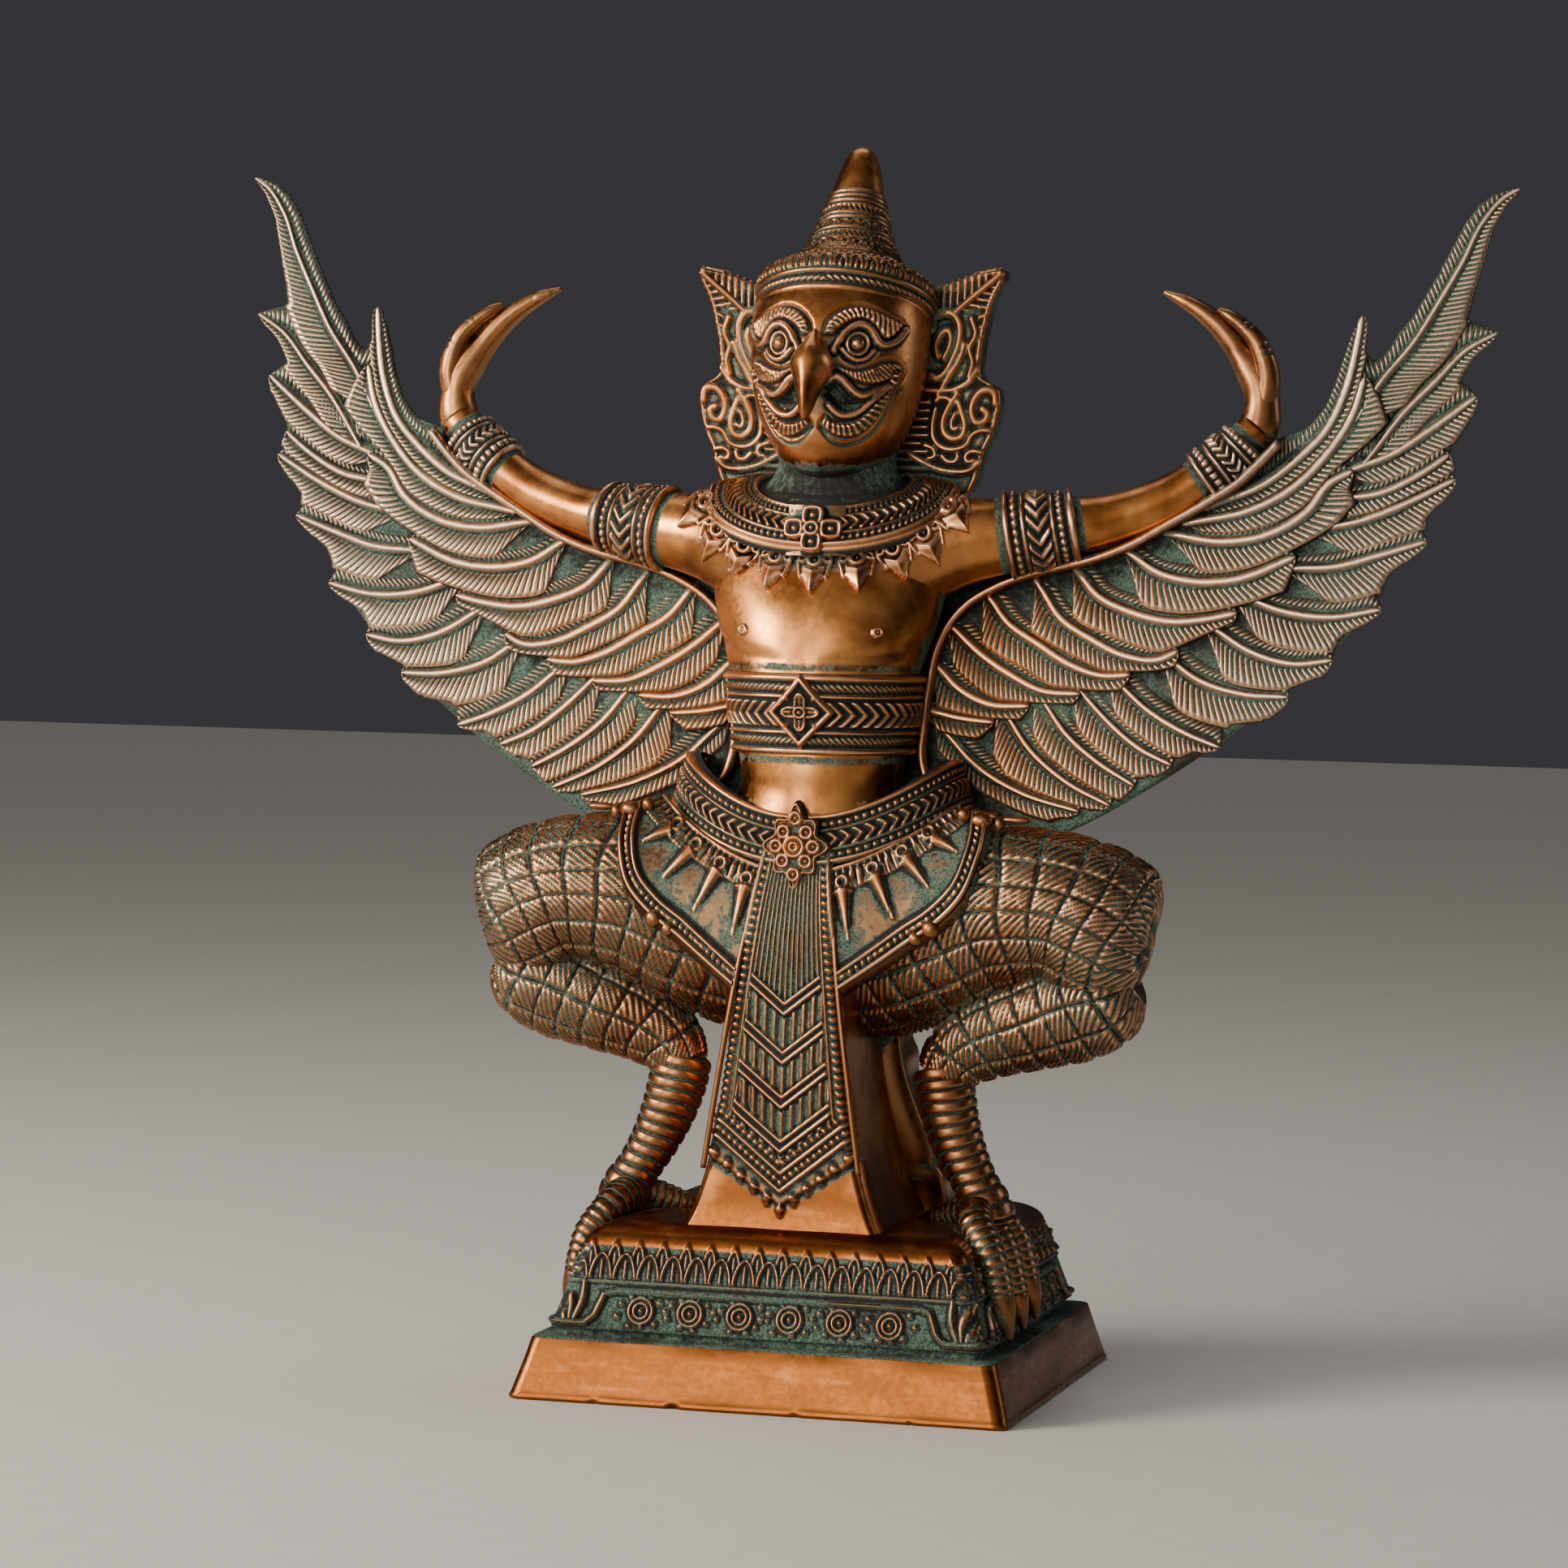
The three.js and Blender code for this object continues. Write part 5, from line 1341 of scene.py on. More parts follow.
def arms():
    """Both arms with their armbands and bracelets, and the hands, bent in like a dancer's."""
    casting = Casting()
    coarse, close = circle(40), turns(1.9, 12, 0.55, 12)
    for low, high, rows in (
        (
            0.265, 0.455,
            [
                ("rail", 0.05, 1.1, 0, 1.5), ("beads", 0.17, 1.25, 2.7, 1.5), ("rail", 0.28, 0.8, 0, 1.2),
                ("arrows", 0.48, 4.2, 4.4, 1.7), ("rail", 0.68, 0.8, 0, 1.2),
                ("beads", 0.79, 1.25, 2.7, 1.5), ("rail", 0.93, 1.5, 0, 1.9),
            ],
        ),
        (
            0.80, 0.955,
            [
                ("rail", 0.05, 0.9, 0, 1.4), ("studs", 0.2, 1.4, 3.2, 1.4), ("rail", 0.35, 0.7, 0, 1.2),
                ("arrows", 0.56, 3.0, 3.8, 1.5), ("rail", 0.77, 0.7, 0, 1.2), ("studs", 0.9, 1.1, 2.8, 1.3),
            ],
        ),
    ):
        grid, s, _ = limb(ARM, 0.5, close, (low, high))
        size = s.max() - s.min()
        at = s - s.min()
        around = signed(close)[None] * 11.5 + 0 * s
        edge = np.where((at < 0.3) | (at > size - 0.3), -1.0, 1.2)
        placed = [(kind, f * size, wide, pitch, tall) for kind, f, wide, pitch, tall in rows]
        h = edge + banded(around, at, placed) * (edge > 0)
        casting.patch(grid, h, 1.0, wrap=True)
    grid, s, _ = limb(ARM, 1.4, coarse)
    share = s / s.max()
    beside = np.maximum.reduce([hump(share - at, 0.014) for at in (0.262, 0.458, 0.797, 0.96)])
    shoulder = np.clip((0.2 - share) / 0.05, 0, 1) * 0.4
    casting.patch(grid, 0.0, np.maximum(beside * 0.9, shoulder), wrap=True, ends=True, stain=0.4 * beside)

    grid, s, _ = limb(HAND, 0.7, coarse)
    # The nail on the long finger.
    nail = np.where(np.hypot((s - s.max() + 7) / 3.4, signed(coarse)[None] / 0.9) < 1, 0.25, 0.0)
    wrist = hump(s - 1.5, 2.2)
    casting.patch(grid, nail - 0.5 * wrist, np.clip(wrist * 1.2, 0.4, 1), wrap=True, ends=True)
    turn = circle(26)
    grid, s, _ = limb(FINGER, 0.55, turn)
    creases = sum(hump(s - at * s.max(), 0.5) for at in (0.4, 0.46, 0.66, 0.72))
    cuts = creases * hump(signed(turn - 1.2), 0.9)[None]
    casting.patch(grid, -0.55 * cuts, np.clip(cuts * 2, 0.4, 1), wrap=True, ends=True)
    casting.mirror()
    return casting.make("arms_and_hands")


# Head, crown and ears

SKULL = [
    (323, 3, 8, 8), (327, 1, 10.5, 13), (330, 0, 14, 18.8), (334, 0, 18.4, 23.8), (339.5, 0, 22.6, 27.2),
    (348, 0, 27, 29.4), (361, 1, 30.8, 31.6), (376, 3, 32.3, 32.8), (390, 6, 32, 31.8),
    (403, 9, 27.5, 26.8),
]
BEAK = [
    (379.2, -29, 0.9, 3.5), (376.5, -31, 3.2, 5.5), (373, -33, 5.4, 7.4), (369.5, -35, 7.6, 8.8),
    (366.5, -36.6, 7.7, 9.2), (363, -38.5, 6.0, 8.6), (358.5, -40.6, 4.2, 7.0), (354, -42.4, 3.0, 5.2),
    (350.5, -43.6, 1.9, 3.2), (348.2, -44.2, 0.6, 1.0),
]
# Lines of the face on the unrolled head: the distance from its middle, and the height.
BROW_TOP = [
    (2.7, 379.7), (3.7, 383.4), (5.9, 386), (8.8, 387.9), (12.3, 389), (15.9, 389.1), (19.6, 388.2),
    (23.4, 386.8), (27.6, 385.1), (32.1, 383.9),
]
BROW_FOOT = [
    (5.4, 379.2), (7.6, 381.6), (10.3, 383.5), (13.3, 384.7), (16.1, 385), (18.7, 384.1), (21.1, 382),
    (22.8, 379.9), (24.6, 378.3), (26.2, 377.9), (28.6, 379.2), (31, 381.3), (32.6, 383.2),
]
LID = [
    (6.6, 373.4), (8.4, 376.9), (10.2, 379.8), (12.2, 381.7), (14.5, 382.7), (17, 382.6), (19.3, 381.2),
    (21, 379.1), (22.7, 376.9), (24.8, 375.8), (27.6, 376.2), (30.5, 377.6), (32.6, 379.6), (34.1, 381.5),
]
LOWER_LID = [(9.6, 374), (12.6, 371.2), (15.4, 370.2), (18.7, 371), (21.4, 373.6)]
SOCKET = [
    (7.6, 373.2), (9.8, 377), (12.2, 380), (15, 381.2), (18, 380.6), (20.4, 378), (22.4, 374.8),
    (20.5, 371), (15.4, 368.2), (10.5, 369.8),
]
EYE = (15.2, 376)
FAN_TOP = [
    (7.8, 368.2), (11, 366.9), (14.6, 366.2), (18.2, 366.6), (21.9, 367.8), (25.3, 369.1), (29, 369.7),
    (32.7, 369.4), (35.7, 367.7),
]
FAN_FOOT = [
    (8.9, 366.4), (12.6, 364.3), (16.3, 362.6), (20.1, 362), (24, 362.1), (27.2, 363), (30.6, 364.2),
    (34.1, 366.1), (36, 367.3),
]
LIP = [
    (5.5, 363.4), (7.6, 364.4), (10.1, 363.5), (12.4, 361.4), (15.1, 359.1), (18.2, 357.9), (21.7, 358.4),
    (25.5, 360), (28.8, 361.2),
]
LOWER_LIP = [
    (5.8, 354.1), (8.2, 352), (11.3, 350.6), (14.4, 350.7), (17.7, 351.8), (20.6, 354.1), (23.5, 356.7),
    (26.1, 358.9), (28.8, 361.2),
]
MOUTH = [
    (3, 361), (5.6, 362), (7.7, 362.8), (9.9, 361.8), (12.5, 359.5), (15.3, 357.3), (18.4, 356.5),
    (21.4, 357), (19.3, 354.9), (16.4, 353.2), (13.4, 352.3), (10.4, 352.3), (7.7, 353.6), (5, 355),
    (3, 357),
]
JAW_TOP = [
    (4.6, 350.1), (6.8, 348.4), (10, 347.6), (14, 347.5), (18.3, 348.8), (21.4, 351.4), (23.8, 354.4),
    (25.8, 357.8), (27.9, 361.2), (30.2, 363.8), (31.7, 366),
]
JAW_FOOT = [
    (2.8, 347.2), (6.1, 344.7), (10.3, 343.2), (15.5, 342.8), (20.6, 344), (24.3, 346.6), (26.9, 349.9),
    (28.7, 353.6), (29.9, 357.3), (31.6, 360.6), (34, 364), (35.6, 366.6),
]
JAW_LINE = [
    (1.6, 346), (7, 341.6), (13.2, 339.9), (20.4, 340.9), (26.8, 344.4), (30.2, 349.6), (32.2, 355),
    (34.3, 359.4), (36.7, 360.6),
]


def face_relief(s, z):
    """The bird face in mm on the unrolled head: s is the distance from its middle and z the height."""

    def cut(d, half, deep):
        return -deep * hump(d, half)

    def hatched(top, foot, guide, pitch, slant, height):
        """A raised field between two lines with cut strokes across it, and a dark line round it."""
        inside = within(top + foot[::-1], s, z)
        along, off, _ = follow(curve(guide), s, z)
        bars = np.clip(0.65 + 0.75 * np.cos(2 * np.pi * (along + off * slant) / pitch), 0, 1)
        raised = np.clip(inside / 0.5, 0, 1) * height * (0.25 + 0.75 * bars)
        return np.where(inside > 0, raised, cut(inside + 0.8, 0.75, 0.9)), inside

    def ridge(line, half, height, base):
        off = np.abs(follow(curve(line), s, z)[1])
        return np.where(off < half, base + swell(off, half, height), -9), cut(off - half - 0.6, 0.6, 0.8)

    cheek = hump(s - 17, 13) * hump(z - 377, 8)
    brow, in_brow = hatched(BROW_TOP, BROW_FOOT, BROW_TOP, 2.15, 0.5, 1.5)
    fan, in_fan = hatched(FAN_TOP, FAN_FOOT, FAN_FOOT, 1.9, 0.8, 1.4)
    jaw, in_jaw = hatched(JAW_TOP, JAW_FOOT, JAW_TOP, 2.1, 0.3, 1.5)
    h = cheek + brow + fan + jaw
    line = np.abs(follow(curve(JAW_LINE), s, z)[1])
    h = h + cut(line, 0.6, 0.8)
    socket, mouth = within(SOCKET, s, z), within(MOUTH, s, z)
    h = np.where(socket > 0, h - 1.3 * np.clip(socket, 0, 1), h)
    h = np.where(mouth > 0, h - 4.0 * np.clip(mouth / 2.4, 0, 1) ** 0.6, h)
    lines = [line]
    for path, half, height, base in (
        (LID, 1.25, 1.3, 1.0), (LOWER_LID, 0.85, 1.1, 0.4), (LIP, 1.3, 1.5, 0.6),
        (LOWER_LIP, 1.15, 1.5, 0.6),
    ):
        raised, beside = ridge(path, half, height, base)
        h = np.maximum(np.where(mouth > 0, h, h + beside), raised)
        lines.append(np.abs(follow(curve(path), s, z)[1]) - half)
    far = np.hypot(s - EYE[0], z - EYE[1])
    ball = np.maximum(0.3 + swell(far - 3.85, 0.65, 1.1), 0.3 + swell(far, 2.35, 2.3))
    h = np.where(far < 4.6, np.maximum(np.where(far < 3.3, -0.9, h), ball), h)
    zone = np.clip(1 + np.maximum.reduce([in_brow, socket, in_fan, mouth, in_jaw]) / 2.0, 0, 1)
    return h, np.maximum(zone, np.clip(1 - (np.minimum.reduce(lines) - 0.6) / 1.6, 0, 1))


def head():
    """The head with its bird face, and the hooked beak."""
    casting = Casting()
    turn = turns(1.55, 20, 0.48, 33)
    grid = oval(SKULL, even(323, 402, 0.48), turn)
    side = np.abs(signed(turn))[None]
    h, zone = face_relief(np.broadcast_to(side * 33, grid.shape[:2]), grid[..., 2])
    face = np.clip((1.45 - side) / 0.2, 0, 1)
    under = np.clip((337 - grid[..., 2]) / 8, 0, 1)
    zone = np.maximum(np.maximum(zone * face * 0.75, 0.34), under)
    casting.patch(grid, h * face, zone, wrap=True, ends=True, stain=0.4 * under)
    rough = spline([(0, y, z, w, d) for z, y, w, d in BEAK], 80)
    ring, _ = tube(rough[:, :3], rough[:, 3], rough[:, 4], 44, squareness=1.15)
    casting.patch(ring, 0.0, 0.0, wrap=True, ends=True)
    return casting.make("head")


def crown(settings):
    """The pointed crown: a headband with rope and petals, and a cone with bands up to its plain tip."""
    casting = Casting()
    lean = settings.crown_lean
    seat, up, back = np.array([0, 9, 388.6]), np.array([0, math.sin(lean), math.cos(lean)]), np.array(
        [0, math.cos(lean), -math.sin(lean)]
    )

    def lathe(profile, step, turn):
        line = spline(profile, max(int(length_of(profile) / step), 6), 2)
        r, height = line[:, 0], line[:, 1]
        ring = np.array([1.0, 0, 0]) * np.sin(turn)[:, None] - back * np.cos(turn)[:, None]
        grid = seat + r[:, None, None] * ring[None] + (height[:, None] * up)[:, None]
        along = run_of(line)
        flat = 0 * grid[..., 0]
        return grid, along[:, None] + flat, turn[None] + flat, r[:, None] + flat

    grid, a, turn, r = lathe(
        [
            (27.5, -5.0), (30.8, -3.4), (31.6, 0), (31.9, 4), (31.6, 8.0), (29.6, 10.6), (26.4, 13),
            (23.2, 15.2), (20.6, 17.6), (19, 20.5),
        ],
        0.52, turns(1.65, 46, 0.52, 31),
    )
    s = np.abs(signed(turn)) * 31.5
    h = banded(s, a, [("rail", 5.2, 1.6, 0, 1.6), ("rope", 8.3, 1.35, 2.5, 1.5), ("rail", 11.3, 1.3, 0, 1.6)])
    # Round-topped petals, each a loop over a bud, and a second row between them.
    for low, shift, tall in ((16.6, 2.7, 1.3), (14.6, 0.0, 1.8)):
        far = np.hypot(nearest(s + shift, 5.4), np.maximum(a - low, 0) * 0.8)
        loop = np.maximum(swell(far - 2.0, 0.75, tall), swell(far, 1.0, tall * 0.9))
        h = np.where((far < 2.75) & (a > low - 2), loop + 0.2, h)
    h = np.maximum(h, banded(s * 26 / 32, a, [("beads", 22.6, 1.1, 2.4, 1.2)]))
    casting.patch(grid, h, np.clip(a / 3, 0, 1), wrap=True, stain=0.08)
    cone = [
        (22.5, 14.5), (19.8, 17.6), (17.6, 21.6), (14.6, 28.4), (12, 37), (9.9, 45.5), (8, 53.8), (6.5, 59),
        (4.9, 62.4), (2.7, 64.4), (0.2, 65),
    ]
    grid, a, turn, r = lathe(cone, 0.52, turns(1.65, 26, 0.5, 14))
    side = np.abs(signed(turn))
    h = np.zeros(a.shape)
    # Rings round the cone, with a row of leaves, strokes or arches over each.
    level = 3.0
    for kind, tall in (
        ("leaf", 7.0), ("stroke", 3.6), ("none", 2.2), ("arch", 5.0), ("none", 2.0), ("stroke", 3.4),
        ("none", 2.2), ("none", 2.0), ("none", 2.2),
    ):
        radius = float(np.interp(level + tall / 2, a[:, 0], r[:, 0]))
        spacing = {"leaf": 4.6, "stroke": 1.9, "arch": 4.0, "none": 4.0}[kind]
        count = round(2 * np.pi * radius / spacing / 2) * 2
        wide = 2 * np.pi * radius / count
        s = side * radius
        inside = (a > level + 1.0) & (a < level + tall)
        h = np.maximum(h, swell(a - level, 0.75, 1.0))
        if kind == "stroke":
            row = 0.85 * np.clip(np.cos(2 * np.pi * (s + (a - level) * 0.5) / wide) + 0.4, 0, 1)
        elif kind == "leaf":
            row = petals(s, a, wide, level + 1.0, tall - 1.0, 1.0, 0.5)
        elif kind == "arch":
            far = np.hypot(nearest(s, wide), a - level - 1.4)
            row = np.maximum(swell(far - wide * 0.4, 0.65, 1.1), swell(far, 0.7, 0.9)) * (a > level + 0.9)
        else:
            row = np.zeros(a.shape)
        h = np.where(inside, np.maximum(h, row), h)
        level += tall
    h = np.maximum(h, swell(a - level, 0.75, 0.8))
    casting.patch(grid, h, np.clip((level + 2 - a) / 2, 0, 0.75), wrap=True, ends=True, stain=0.06)
    return casting.make("crown")


EAR_OUTER = [
    (324, 46.5), (331, 49.3), (335, 50.4), (340, 51.8), (346, 54.6), (353, 56.4), (359, 56.9),
    (362.6, 55.4), (364.6, 51.4), (367.5, 49.4), (373, 49.4), (379, 50), (385.5, 51.4), (391.5, 52.8),
    (397.5, 55.2), (402, 57.4), (405, 57.4),
]
EAR_INNER = [
    (324, 12), (344, 14), (350, 16), (385, 22), (396.5, 29.5), (398.5, 35), (401, 41), (403.5, 48.5),
    (405, 56.6),
]


def ears():
    """The ears, shaped like flames: a folded ear with a leaf above it and scrolls below."""
    casting = Casting()
    z = even(324.5, 404.9, 0.5)
    outer, inner = smooth(EAR_OUTER, z)[:, 0], smooth(EAR_INNER, z)[:, 0]
    across = np.linspace(0, 1, 66)[None]
    u = inner[:, None] + (outer - inner)[:, None] * across
    v = z[:, None] + 0 * u
    rear = u[:, ::-1][:, ::8]
    rear_z = z[:, None] + 0 * rear
    face_y = 16.0 - 1.2 * np.sqrt(np.clip(1 - (2 * across - 1) ** 2, 0, 1)) + 0.05 * (u - 33)
    grid = np.concatenate(
        [np.stack([u, face_y, v], axis=-1), np.stack([rear, np.full(rear.shape, 24.5), rear_z], axis=-1)],
        axis=1,
    )
    # Each carved line is a round cord: half its width, and its points.
    bands = (
        (
            1.25,
            [
                (31, 383.5), (31.7, 387.5), (35.1, 389.4), (38.9, 389.1), (41.3, 385.8), (41.7, 381.3),
                (40.6, 376.2), (38.5, 371.4), (36.3, 367.7), (33.5, 365.8), (30.7, 366.5),
            ],
        ),
        (
            1.1,
            [
                (33.6, 374), (32.7, 377.2), (33.8, 380.2), (35.2, 382.4), (37.3, 383), (38.4, 380.4),
                (37.7, 376.6), (36, 373.2),
            ],
        ),
        (0.9, [(40.4, 390.2), (44.1, 393.5), (48.6, 397.2), (53.1, 400.9), (56.8, 404.2)]),
        (1.0, [(43.4, 378), (41.6, 372.5), (39.3, 368.6), (36.4, 364), (33.9, 359.4)]),
        (0.9, [(28.1, 361.6), (33.5, 361.2), (39.6, 361.6), (45, 364.5), (48.4, 369)]),
        (
            1.15,
            [
                (55.2, 357), (54.4, 361), (50.4, 361.4), (47.2, 357.6), (46.6, 353), (48.5, 349.7),
                (51.5, 350.5), (52.4, 353.3), (50.6, 354.6),
            ],
        ),
        (
            1.15,
            [
                (41.2, 360.3), (38, 355.1), (36.1, 350), (36.8, 345.8), (39.9, 343.8), (43.1, 344.7),
                (44.2, 348.2), (43.1, 353), (41.6, 357),
            ],
        ),
        (0.75, [(40.6, 353), (39.2, 349.5), (40, 346.8), (41.6, 348)]),
        (
            0.9,
            [
                (33.3, 354.5), (32.3, 348.4), (32.9, 343.6), (35.8, 340.7), (40, 339.9), (44.5, 341.4),
                (47.2, 345.6), (49.8, 346.9), (53, 347),
            ],
        ),
        (0.9, [(24, 338), (28.6, 335.4), (33.3, 333.2), (39.4, 331.9), (46.3, 332.6), (49.6, 335.6)]),
        (0.8, [(50, 339), (46.9, 339.4), (44.6, 337.6), (45.4, 335.4), (47.6, 336)]),
        (0.8, [(29.5, 341.4), (33, 339.8), (33.4, 337.2), (31, 336.6)]),
        (0.8, [(36, 337.6), (38.4, 335.4), (41.4, 336), (41.8, 338)]),
        (0.8, [(33.4, 357.6), (35.8, 359), (38.4, 358)]),
        (0.9, [(45.2, 366.5), (46.4, 371.5), (45.2, 376.6), (47.4, 381.8), (45.8, 387.4)]),
    )
    h = swell(outer[:, None] - u - 1.2, 1.0, 1.2)
    for half, line in bands:
        h = np.maximum(h, cord(line, u, v, half * 1.65, 1.7))
    # Slanting leaf strokes on both sides of the rib in the point, and short ones along the inner edge.
    s, a, _ = follow(curve([(38, 388.2), (44.1, 393.5), (48.6, 397.2), (57, 404.4)]), u, v)
    slanted = np.clip(np.cos(2 * np.pi * (s - np.abs(a) * 0.9) / 3.4) + 0.3, 0, 1)
    stroke = slanted * ((np.abs(a) > 1.4) & (v > 390.2))
    rungs = np.clip(np.cos(2 * np.pi * v / 3.0) + 0.2, 0, 1) * (u < 31) * (v < 358)
    leaf = np.clip(np.cos(2 * np.pi * (v - u * 0.5) / 3.6) + 0.1, 0, 1) * (u > 48) * (v > 370) * (v < 392)
    h = np.maximum(h, 1.2 * np.maximum.reduce([stroke, rungs, leaf]))
    h = np.concatenate([h * np.clip((outer[:, None] - u) / 0.5, 0, 1), np.zeros(rear.shape)], axis=1)
    casting.patch(
        grid, h, np.concatenate([np.ones(u.shape), np.full(rear.shape, 0.6)], axis=1), wrap=True, ends=True,
    )
    casting.mirror()
    return casting.make("ears")


# Crowding: painted shade and patina in corners


def work_in_crowd_shade(reach=4.0, cell=2.0):
    """Gives each point how crowded the metal in front of it is, from a grid of cells over all the pieces,
    for the painted shade and patina in corners.
    """
    clouds = []
    for piece in PIECES:
        count = len(piece.data.vertices)
        spots = np.empty(count * 3, np.float32)
        facing = np.empty(count * 3, np.float32)
        piece.data.vertices.foreach_get("co", spots)
        piece.data.vertex_normals.foreach_get("vector", facing)
        clouds.append((spots.reshape(-1, 3) / MM, facing.reshape(-1, 3)))
    everything = np.concatenate([spots for spots, _ in clouds])
    low = everything.min(axis=0) - 12
    size = np.ceil((everything.max(axis=0) + 12 - low) / cell).astype(int)
    filled = np.zeros(size, np.float32)
    filled[tuple(((everything - low) / cell).astype(int).T)] = 1.0
    window = max(1, int(round(reach / cell)))
    for _ in range(2):
        for axis in range(3):
            filled = window_mean(filled, window, axis, "constant")
    for piece, (spots, facing) in zip(PIECES, clouds):
        probe = spots + facing * (reach + cell)
        near = filled[tuple(np.clip(((probe - low) / cell).astype(int), 0, size - 1).T)]
        layer = piece.data.attributes.get("crowd_shade") or piece.data.attributes.new("crowd_shade", "FLOAT", "POINT")
        layer.data.foreach_set("value", np.clip(near / 0.3, 0, 1).astype(np.float32))


# Stage


def stage(settings):
    """A pale floor, soft lights, and the camera at the picture's own angle."""
    size = 6.0
    floor_mesh = bpy.data.meshes.new("floor")
    corners = [(-size, -size, 0), (size, -size, 0), (size, size, 0), (-size, size, 0)]
    floor_mesh.from_pydata(corners, [], [(0, 1, 2, 3)])
    floor = bpy.data.objects.new("floor", floor_mesh)
    bpy.context.scene.collection.objects.link(floor)
    mat = bpy.data.materials.new("paper_backdrop")
    mat.use_nodes = True
    tree = mat.node_tree
    tree.nodes.clear()
    # Paper whose tone is faintly uneven, in patches so many mm across.
    patch = 11.1
    grain = add(tree, "TexNoise", add(tree, "TexCoord", out="Object"), 1 / (patch * MM), 2.0)
    grain = add(tree, "MapRange", grain, 0.3, 0.7, **STEP)
    tint = add(tree, "Mix", grain, linear("#d3d0cb"), linear("#d6d3ce"), **BLEND)
    add(tree, "OutputMaterial", add(tree, "BsdfPrincipled", tint, 0.85, into=("Base Color", "Roughness")))
    floor_mesh.materials.append(mat)

    world = bpy.data.worlds.new("studio")
    bpy.context.scene.world = world
    world.use_nodes = True
    tree = world.node_tree
    # The room is brightest behind the camera's left shoulder, and dim behind the figure.
    way = add(tree, "TexCoord", out="Generated")
    facing = add(tree, "VectorMath", way, (-0.36, -0.93, 0.0), operation="DOT_PRODUCT", out="Value")
    facing = add(tree, "MapRange", facing, 0.0, 0.97, **STEP)
    shade = add(tree, "Mix", facing, linear("#434347"), linear("#fff8ee"), **BLEND)
    tree.links.new(shade, tree.nodes["Background"].inputs[0])
    tree.nodes["Background"].inputs[1].default_value = settings.room_light

    # Soft boxes, all turned to the figure's middle: place, width, height, share of the key light, colour.
    middle = Vector((0, 0, 0.22))
    for name, spot, wide, high, share, colour in (
        ("key", (-1.4, -1.0, 0.85), 0.7, 0.7, 1.0, "#fff3e4"),
        ("front", (-0.5, -1.85, 0.5), 0.9, 0.9, 0.38, "#fff8f0"),
        ("top", (-0.2, 0.4, 1.5), 1.0, 0.6, 0.08, "#ffffff"),
        ("rim", (1.3, 0.5, 0.7), 0.4, 0.9, 0.06, "#eef3ff"),
    ):
        lamp = bpy.data.lights.new(name, "AREA")
        lamp.shape = "RECTANGLE"
        lamp.size, lamp.size_y = wide, high
        lamp.energy = settings.key_light * share
        lamp.color = linear(colour)[:3]
        box = bpy.data.objects.new(name, lamp)
        bpy.context.scene.collection.objects.link(box)
        box.location = spot
        box.rotation_euler = (middle - Vector(spot)).to_track_quat("-Z", "Y").to_euler()

    # The camera stands where the picture was taken from. The picture's width, the focal length and how far
    # the figure stands from its middle are in its pixels, the rest in metres and degrees.
    picture, focal, aside, away, rolled = 1932, 6084, 58.3, 1.8, 1.18
    turn, rise = math.radians(15.06), math.radians(2.57)
    back = Vector((math.sin(turn) * math.cos(rise), -math.cos(turn) * math.cos(rise), math.sin(rise)))
    lens = bpy.data.cameras.new("camera")
    camera = bpy.data.objects.new("camera", lens)
    bpy.context.scene.collection.objects.link(camera)
    lens.sensor_width = 36.0
    lens.lens = lens.sensor_width * focal / picture
    lens.shift_x = -aside / picture
    lens.clip_start, lens.clip_end = 0.05, 30
    camera.location = Vector((0, 0.003, 0.2173)) + back * away
    look = (-back).to_track_quat("-Z", "Y").to_matrix().to_4x4()
    roll = Matrix.Rotation(math.radians(rolled), 4, "Z")
    camera.matrix_world = Matrix.Translation(camera.location) @ look @ roll
    bpy.context.scene.camera = camera


# Settings


class GarudaFinish(bpy.types.PropertyGroup):
    polished: StringProperty(name="Polished", description="Rubbed amber-brown brass", default="#cf8c4f")
    browned: StringProperty(
        name="Browned", description="Open skin where the browning took well", default="#7d471f",
    )
    rubbed: StringProperty(name="Rubbed", description="Lightest rubbing marks", default="#c98650")
    shade: StringProperty(name="Shade", description="Chased metal between the cuts", default="#35201a")
    copper: StringProperty(name="Copper", description="Chased metal that stands up", default="#9c633a")
    # The highest edges: partly rubbed wear, partly a painted highlight.
    ridge: StringProperty(name="Ridges", description="Highest edges of the chasing", default="#d9a075")
    film: StringProperty(name="Film", description="Thin grey-green film over the flats", default="#62644f")
    # The next two are painted sheen: paler tones for chasing far from the middle, out to the wing tips, in
    # place of reflected light.
    copper_pale: StringProperty(name="Pale copper", description="Flats of the outer wings", default="#9c8069")
    ridge_pale: StringProperty(
        name="Pale ridges", description="Highest edges of the outer wings", default="#ecccb2",
    )
    # The recess and verdigris tones also colour the painted shade in crowded corners.
    recess: StringProperty(name="Recess", description="Deepest browning", default="#0e0b08")
    verdigris: StringProperty(name="Verdigris", description="Blue-green in the hollows", default="#22332b")
    verdigris_pale: StringProperty(name="Pale verdigris", description="Powdery green", default="#557062")


class GarudaWings(bpy.types.PropertyGroup):
    barb_pitch: FloatProperty(
        name="Barb pitch", description="Distance between barbs along a feather", default=2.05 * MM,
        unit="LENGTH", precision=5,
    )
    barb_height: FloatProperty(
        name="Barb height", description="Depth of the chasing between barbs", default=0.75 * MM,
        unit="LENGTH", precision=5,
    )


class GarudaPlinth(bpy.types.PropertyGroup):
    width: FloatProperty(name="Width", description="Across the skirt's foot", default=0.182, unit="LENGTH")
    depth: FloatProperty(
        name="Depth", description="Front to back at the skirt's foot", default=0.172, unit="LENGTH",
    )
    skirt_height: FloatProperty(
        name="Skirt height", description="The plain foot", default=0.022, unit="LENGTH",
    )
    tier_height: FloatProperty(
        name="Tier height", description="The carved upper part", default=0.037, unit="LENGTH",
    )
    rosettes: IntProperty(name="Rosettes", description="Ringed bosses in the frame", default=6, min=2)


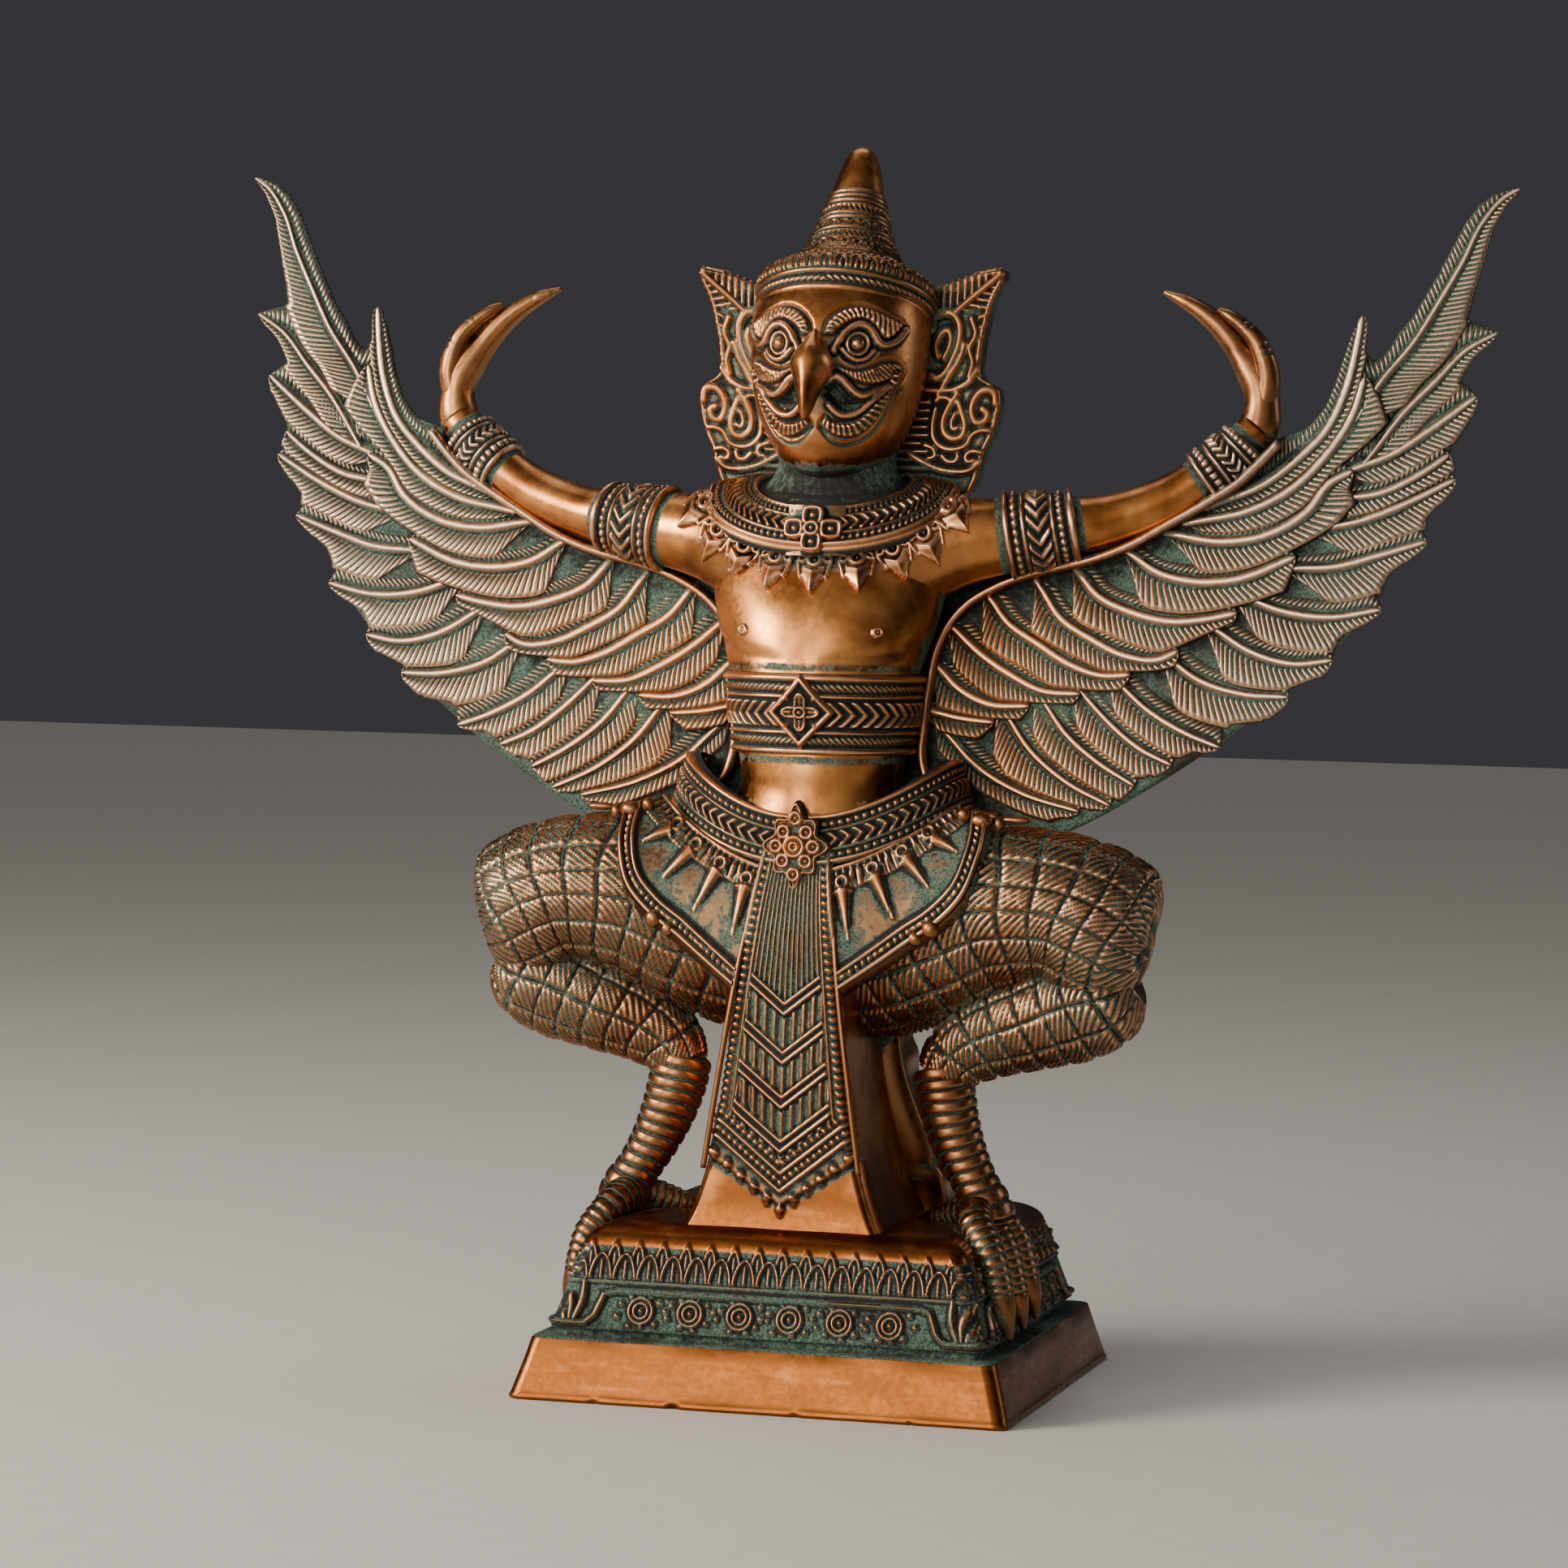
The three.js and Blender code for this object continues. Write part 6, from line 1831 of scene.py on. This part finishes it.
class GarudaLegs(bpy.types.PropertyGroup):
    scale_size: FloatProperty(
        name="Scale size", description="One cell of the cut lattice", default=0.0102, unit="LENGTH",
    )
    shank_rings: IntProperty(name="Shank rings", description="Rings from knee to foot", default=13, min=2)


class GarudaHead(bpy.types.PropertyGroup):
    crown_lean: FloatProperty(
        name="Crown lean", description="How far the crown leans back", default=0.33, unit="ROTATION",
    )


class GarudaStage(bpy.types.PropertyGroup):
    key_light: FloatProperty(name="Key light", description="Power of the main lamp in watts", default=40.0)
    room_light: FloatProperty(name="Room light", description="Strength of the light all round", default=0.74)


# Operators


class GARUDA_OT_wings(bpy.types.Operator):
    """Build both spread wings, feather by feather"""

    bl_idname = "garuda.wings"
    bl_label = "Wings"

    def execute(self, context):
        wings(context.scene.garuda_wings)
        return {"FINISHED"}


class GARUDA_OT_plinth(bpy.types.Operator):
    """Build the plinth with its frieze, frame and rosettes"""

    bl_idname = "garuda.plinth"
    bl_label = "Plinth"

    def execute(self, context):
        plinth(context.scene.garuda_plinth)
        return {"FINISHED"}


class GARUDA_OT_loincloth(bpy.types.Operator):
    """Build the loincloth on its post, and the tail behind"""

    bl_idname = "garuda.loincloth"
    bl_label = "Loincloth and tail"

    def execute(self, context):
        loincloth()
        return {"FINISHED"}


class GARUDA_OT_legs(bpy.types.Operator):
    """Build the scaled thighs and calves, and the ringed shanks and feet"""

    bl_idname = "garuda.legs"
    bl_label = "Legs"

    def execute(self, context):
        legs(context.scene.garuda_legs)
        feet(context.scene.garuda_legs)
        return {"FINISHED"}


class GARUDA_OT_body(bpy.types.Operator):
    """Build the torso with its belt, the collar, the girdle with its aprons, and the arms"""

    bl_idname = "garuda.body"
    bl_label = "Body and arms"

    def execute(self, context):
        for build in (torso, collar, girdle, arms):
            build()
        return {"FINISHED"}


class GARUDA_OT_head(bpy.types.Operator):
    """Build the bird head, the pointed crown and the flame-shaped ears"""

    bl_idname = "garuda.head"
    bl_label = "Head, crown and ears"

    def execute(self, context):
        head()
        crown(context.scene.garuda_head)
        ears()
        return {"FINISHED"}


class GARUDA_OT_crowd_shade(bpy.types.Operator):
    """Work out how crowded each point is, for the painted shade and patina in corners"""

    bl_idname = "garuda.patina"
    # This step feeds painted shade as well as patina.
    bl_label = "Patina"

    def execute(self, context):
        work_in_crowd_shade()
        return {"FINISHED"}


class GARUDA_OT_stage(bpy.types.Operator):
    """Set up the floor, the lights and the camera"""

    bl_idname = "garuda.stage"
    bl_label = "Stage"

    def execute(self, context):
        stage(context.scene.garuda_stage)
        return {"FINISHED"}


STEPS = (
    GARUDA_OT_stage, GARUDA_OT_plinth, GARUDA_OT_loincloth, GARUDA_OT_legs, GARUDA_OT_body, GARUDA_OT_head,
    GARUDA_OT_wings, GARUDA_OT_crowd_shade,
)


class GARUDA_PT_panel(bpy.types.Panel):
    bl_label = "Cast garuda"
    bl_idname = "GARUDA_PT_panel"
    bl_space_type = "VIEW_3D"
    bl_region_type = "UI"
    bl_category = "Garuda"

    def draw(self, context):
        for step in STEPS:
            self.layout.operator(step.bl_idname)


GROUPS = {
    "garuda_finish": GarudaFinish,
    "garuda_plinth": GarudaPlinth,
    "garuda_legs": GarudaLegs,
    "garuda_head": GarudaHead,
    "garuda_wings": GarudaWings,
    "garuda_stage": GarudaStage,
}


def register():
    for group in GROUPS.values():
        bpy.utils.register_class(group)
    for name, group in GROUPS.items():
        setattr(bpy.types.Scene, name, PointerProperty(type=group))
    for step in (*STEPS, GARUDA_PT_panel):
        bpy.utils.register_class(step)


def unregister():
    for step in reversed((*STEPS, GARUDA_PT_panel)):
        bpy.utils.unregister_class(step)
    for name in GROUPS:
        delattr(bpy.types.Scene, name)
    for group in GROUPS.values():
        bpy.utils.unregister_class(group)


def main():
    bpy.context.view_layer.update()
    register()
    for step in STEPS:
        group, name = step.bl_idname.split(".")
        getattr(getattr(bpy.ops, group), name)()


if __name__ == "__main__":
    main()
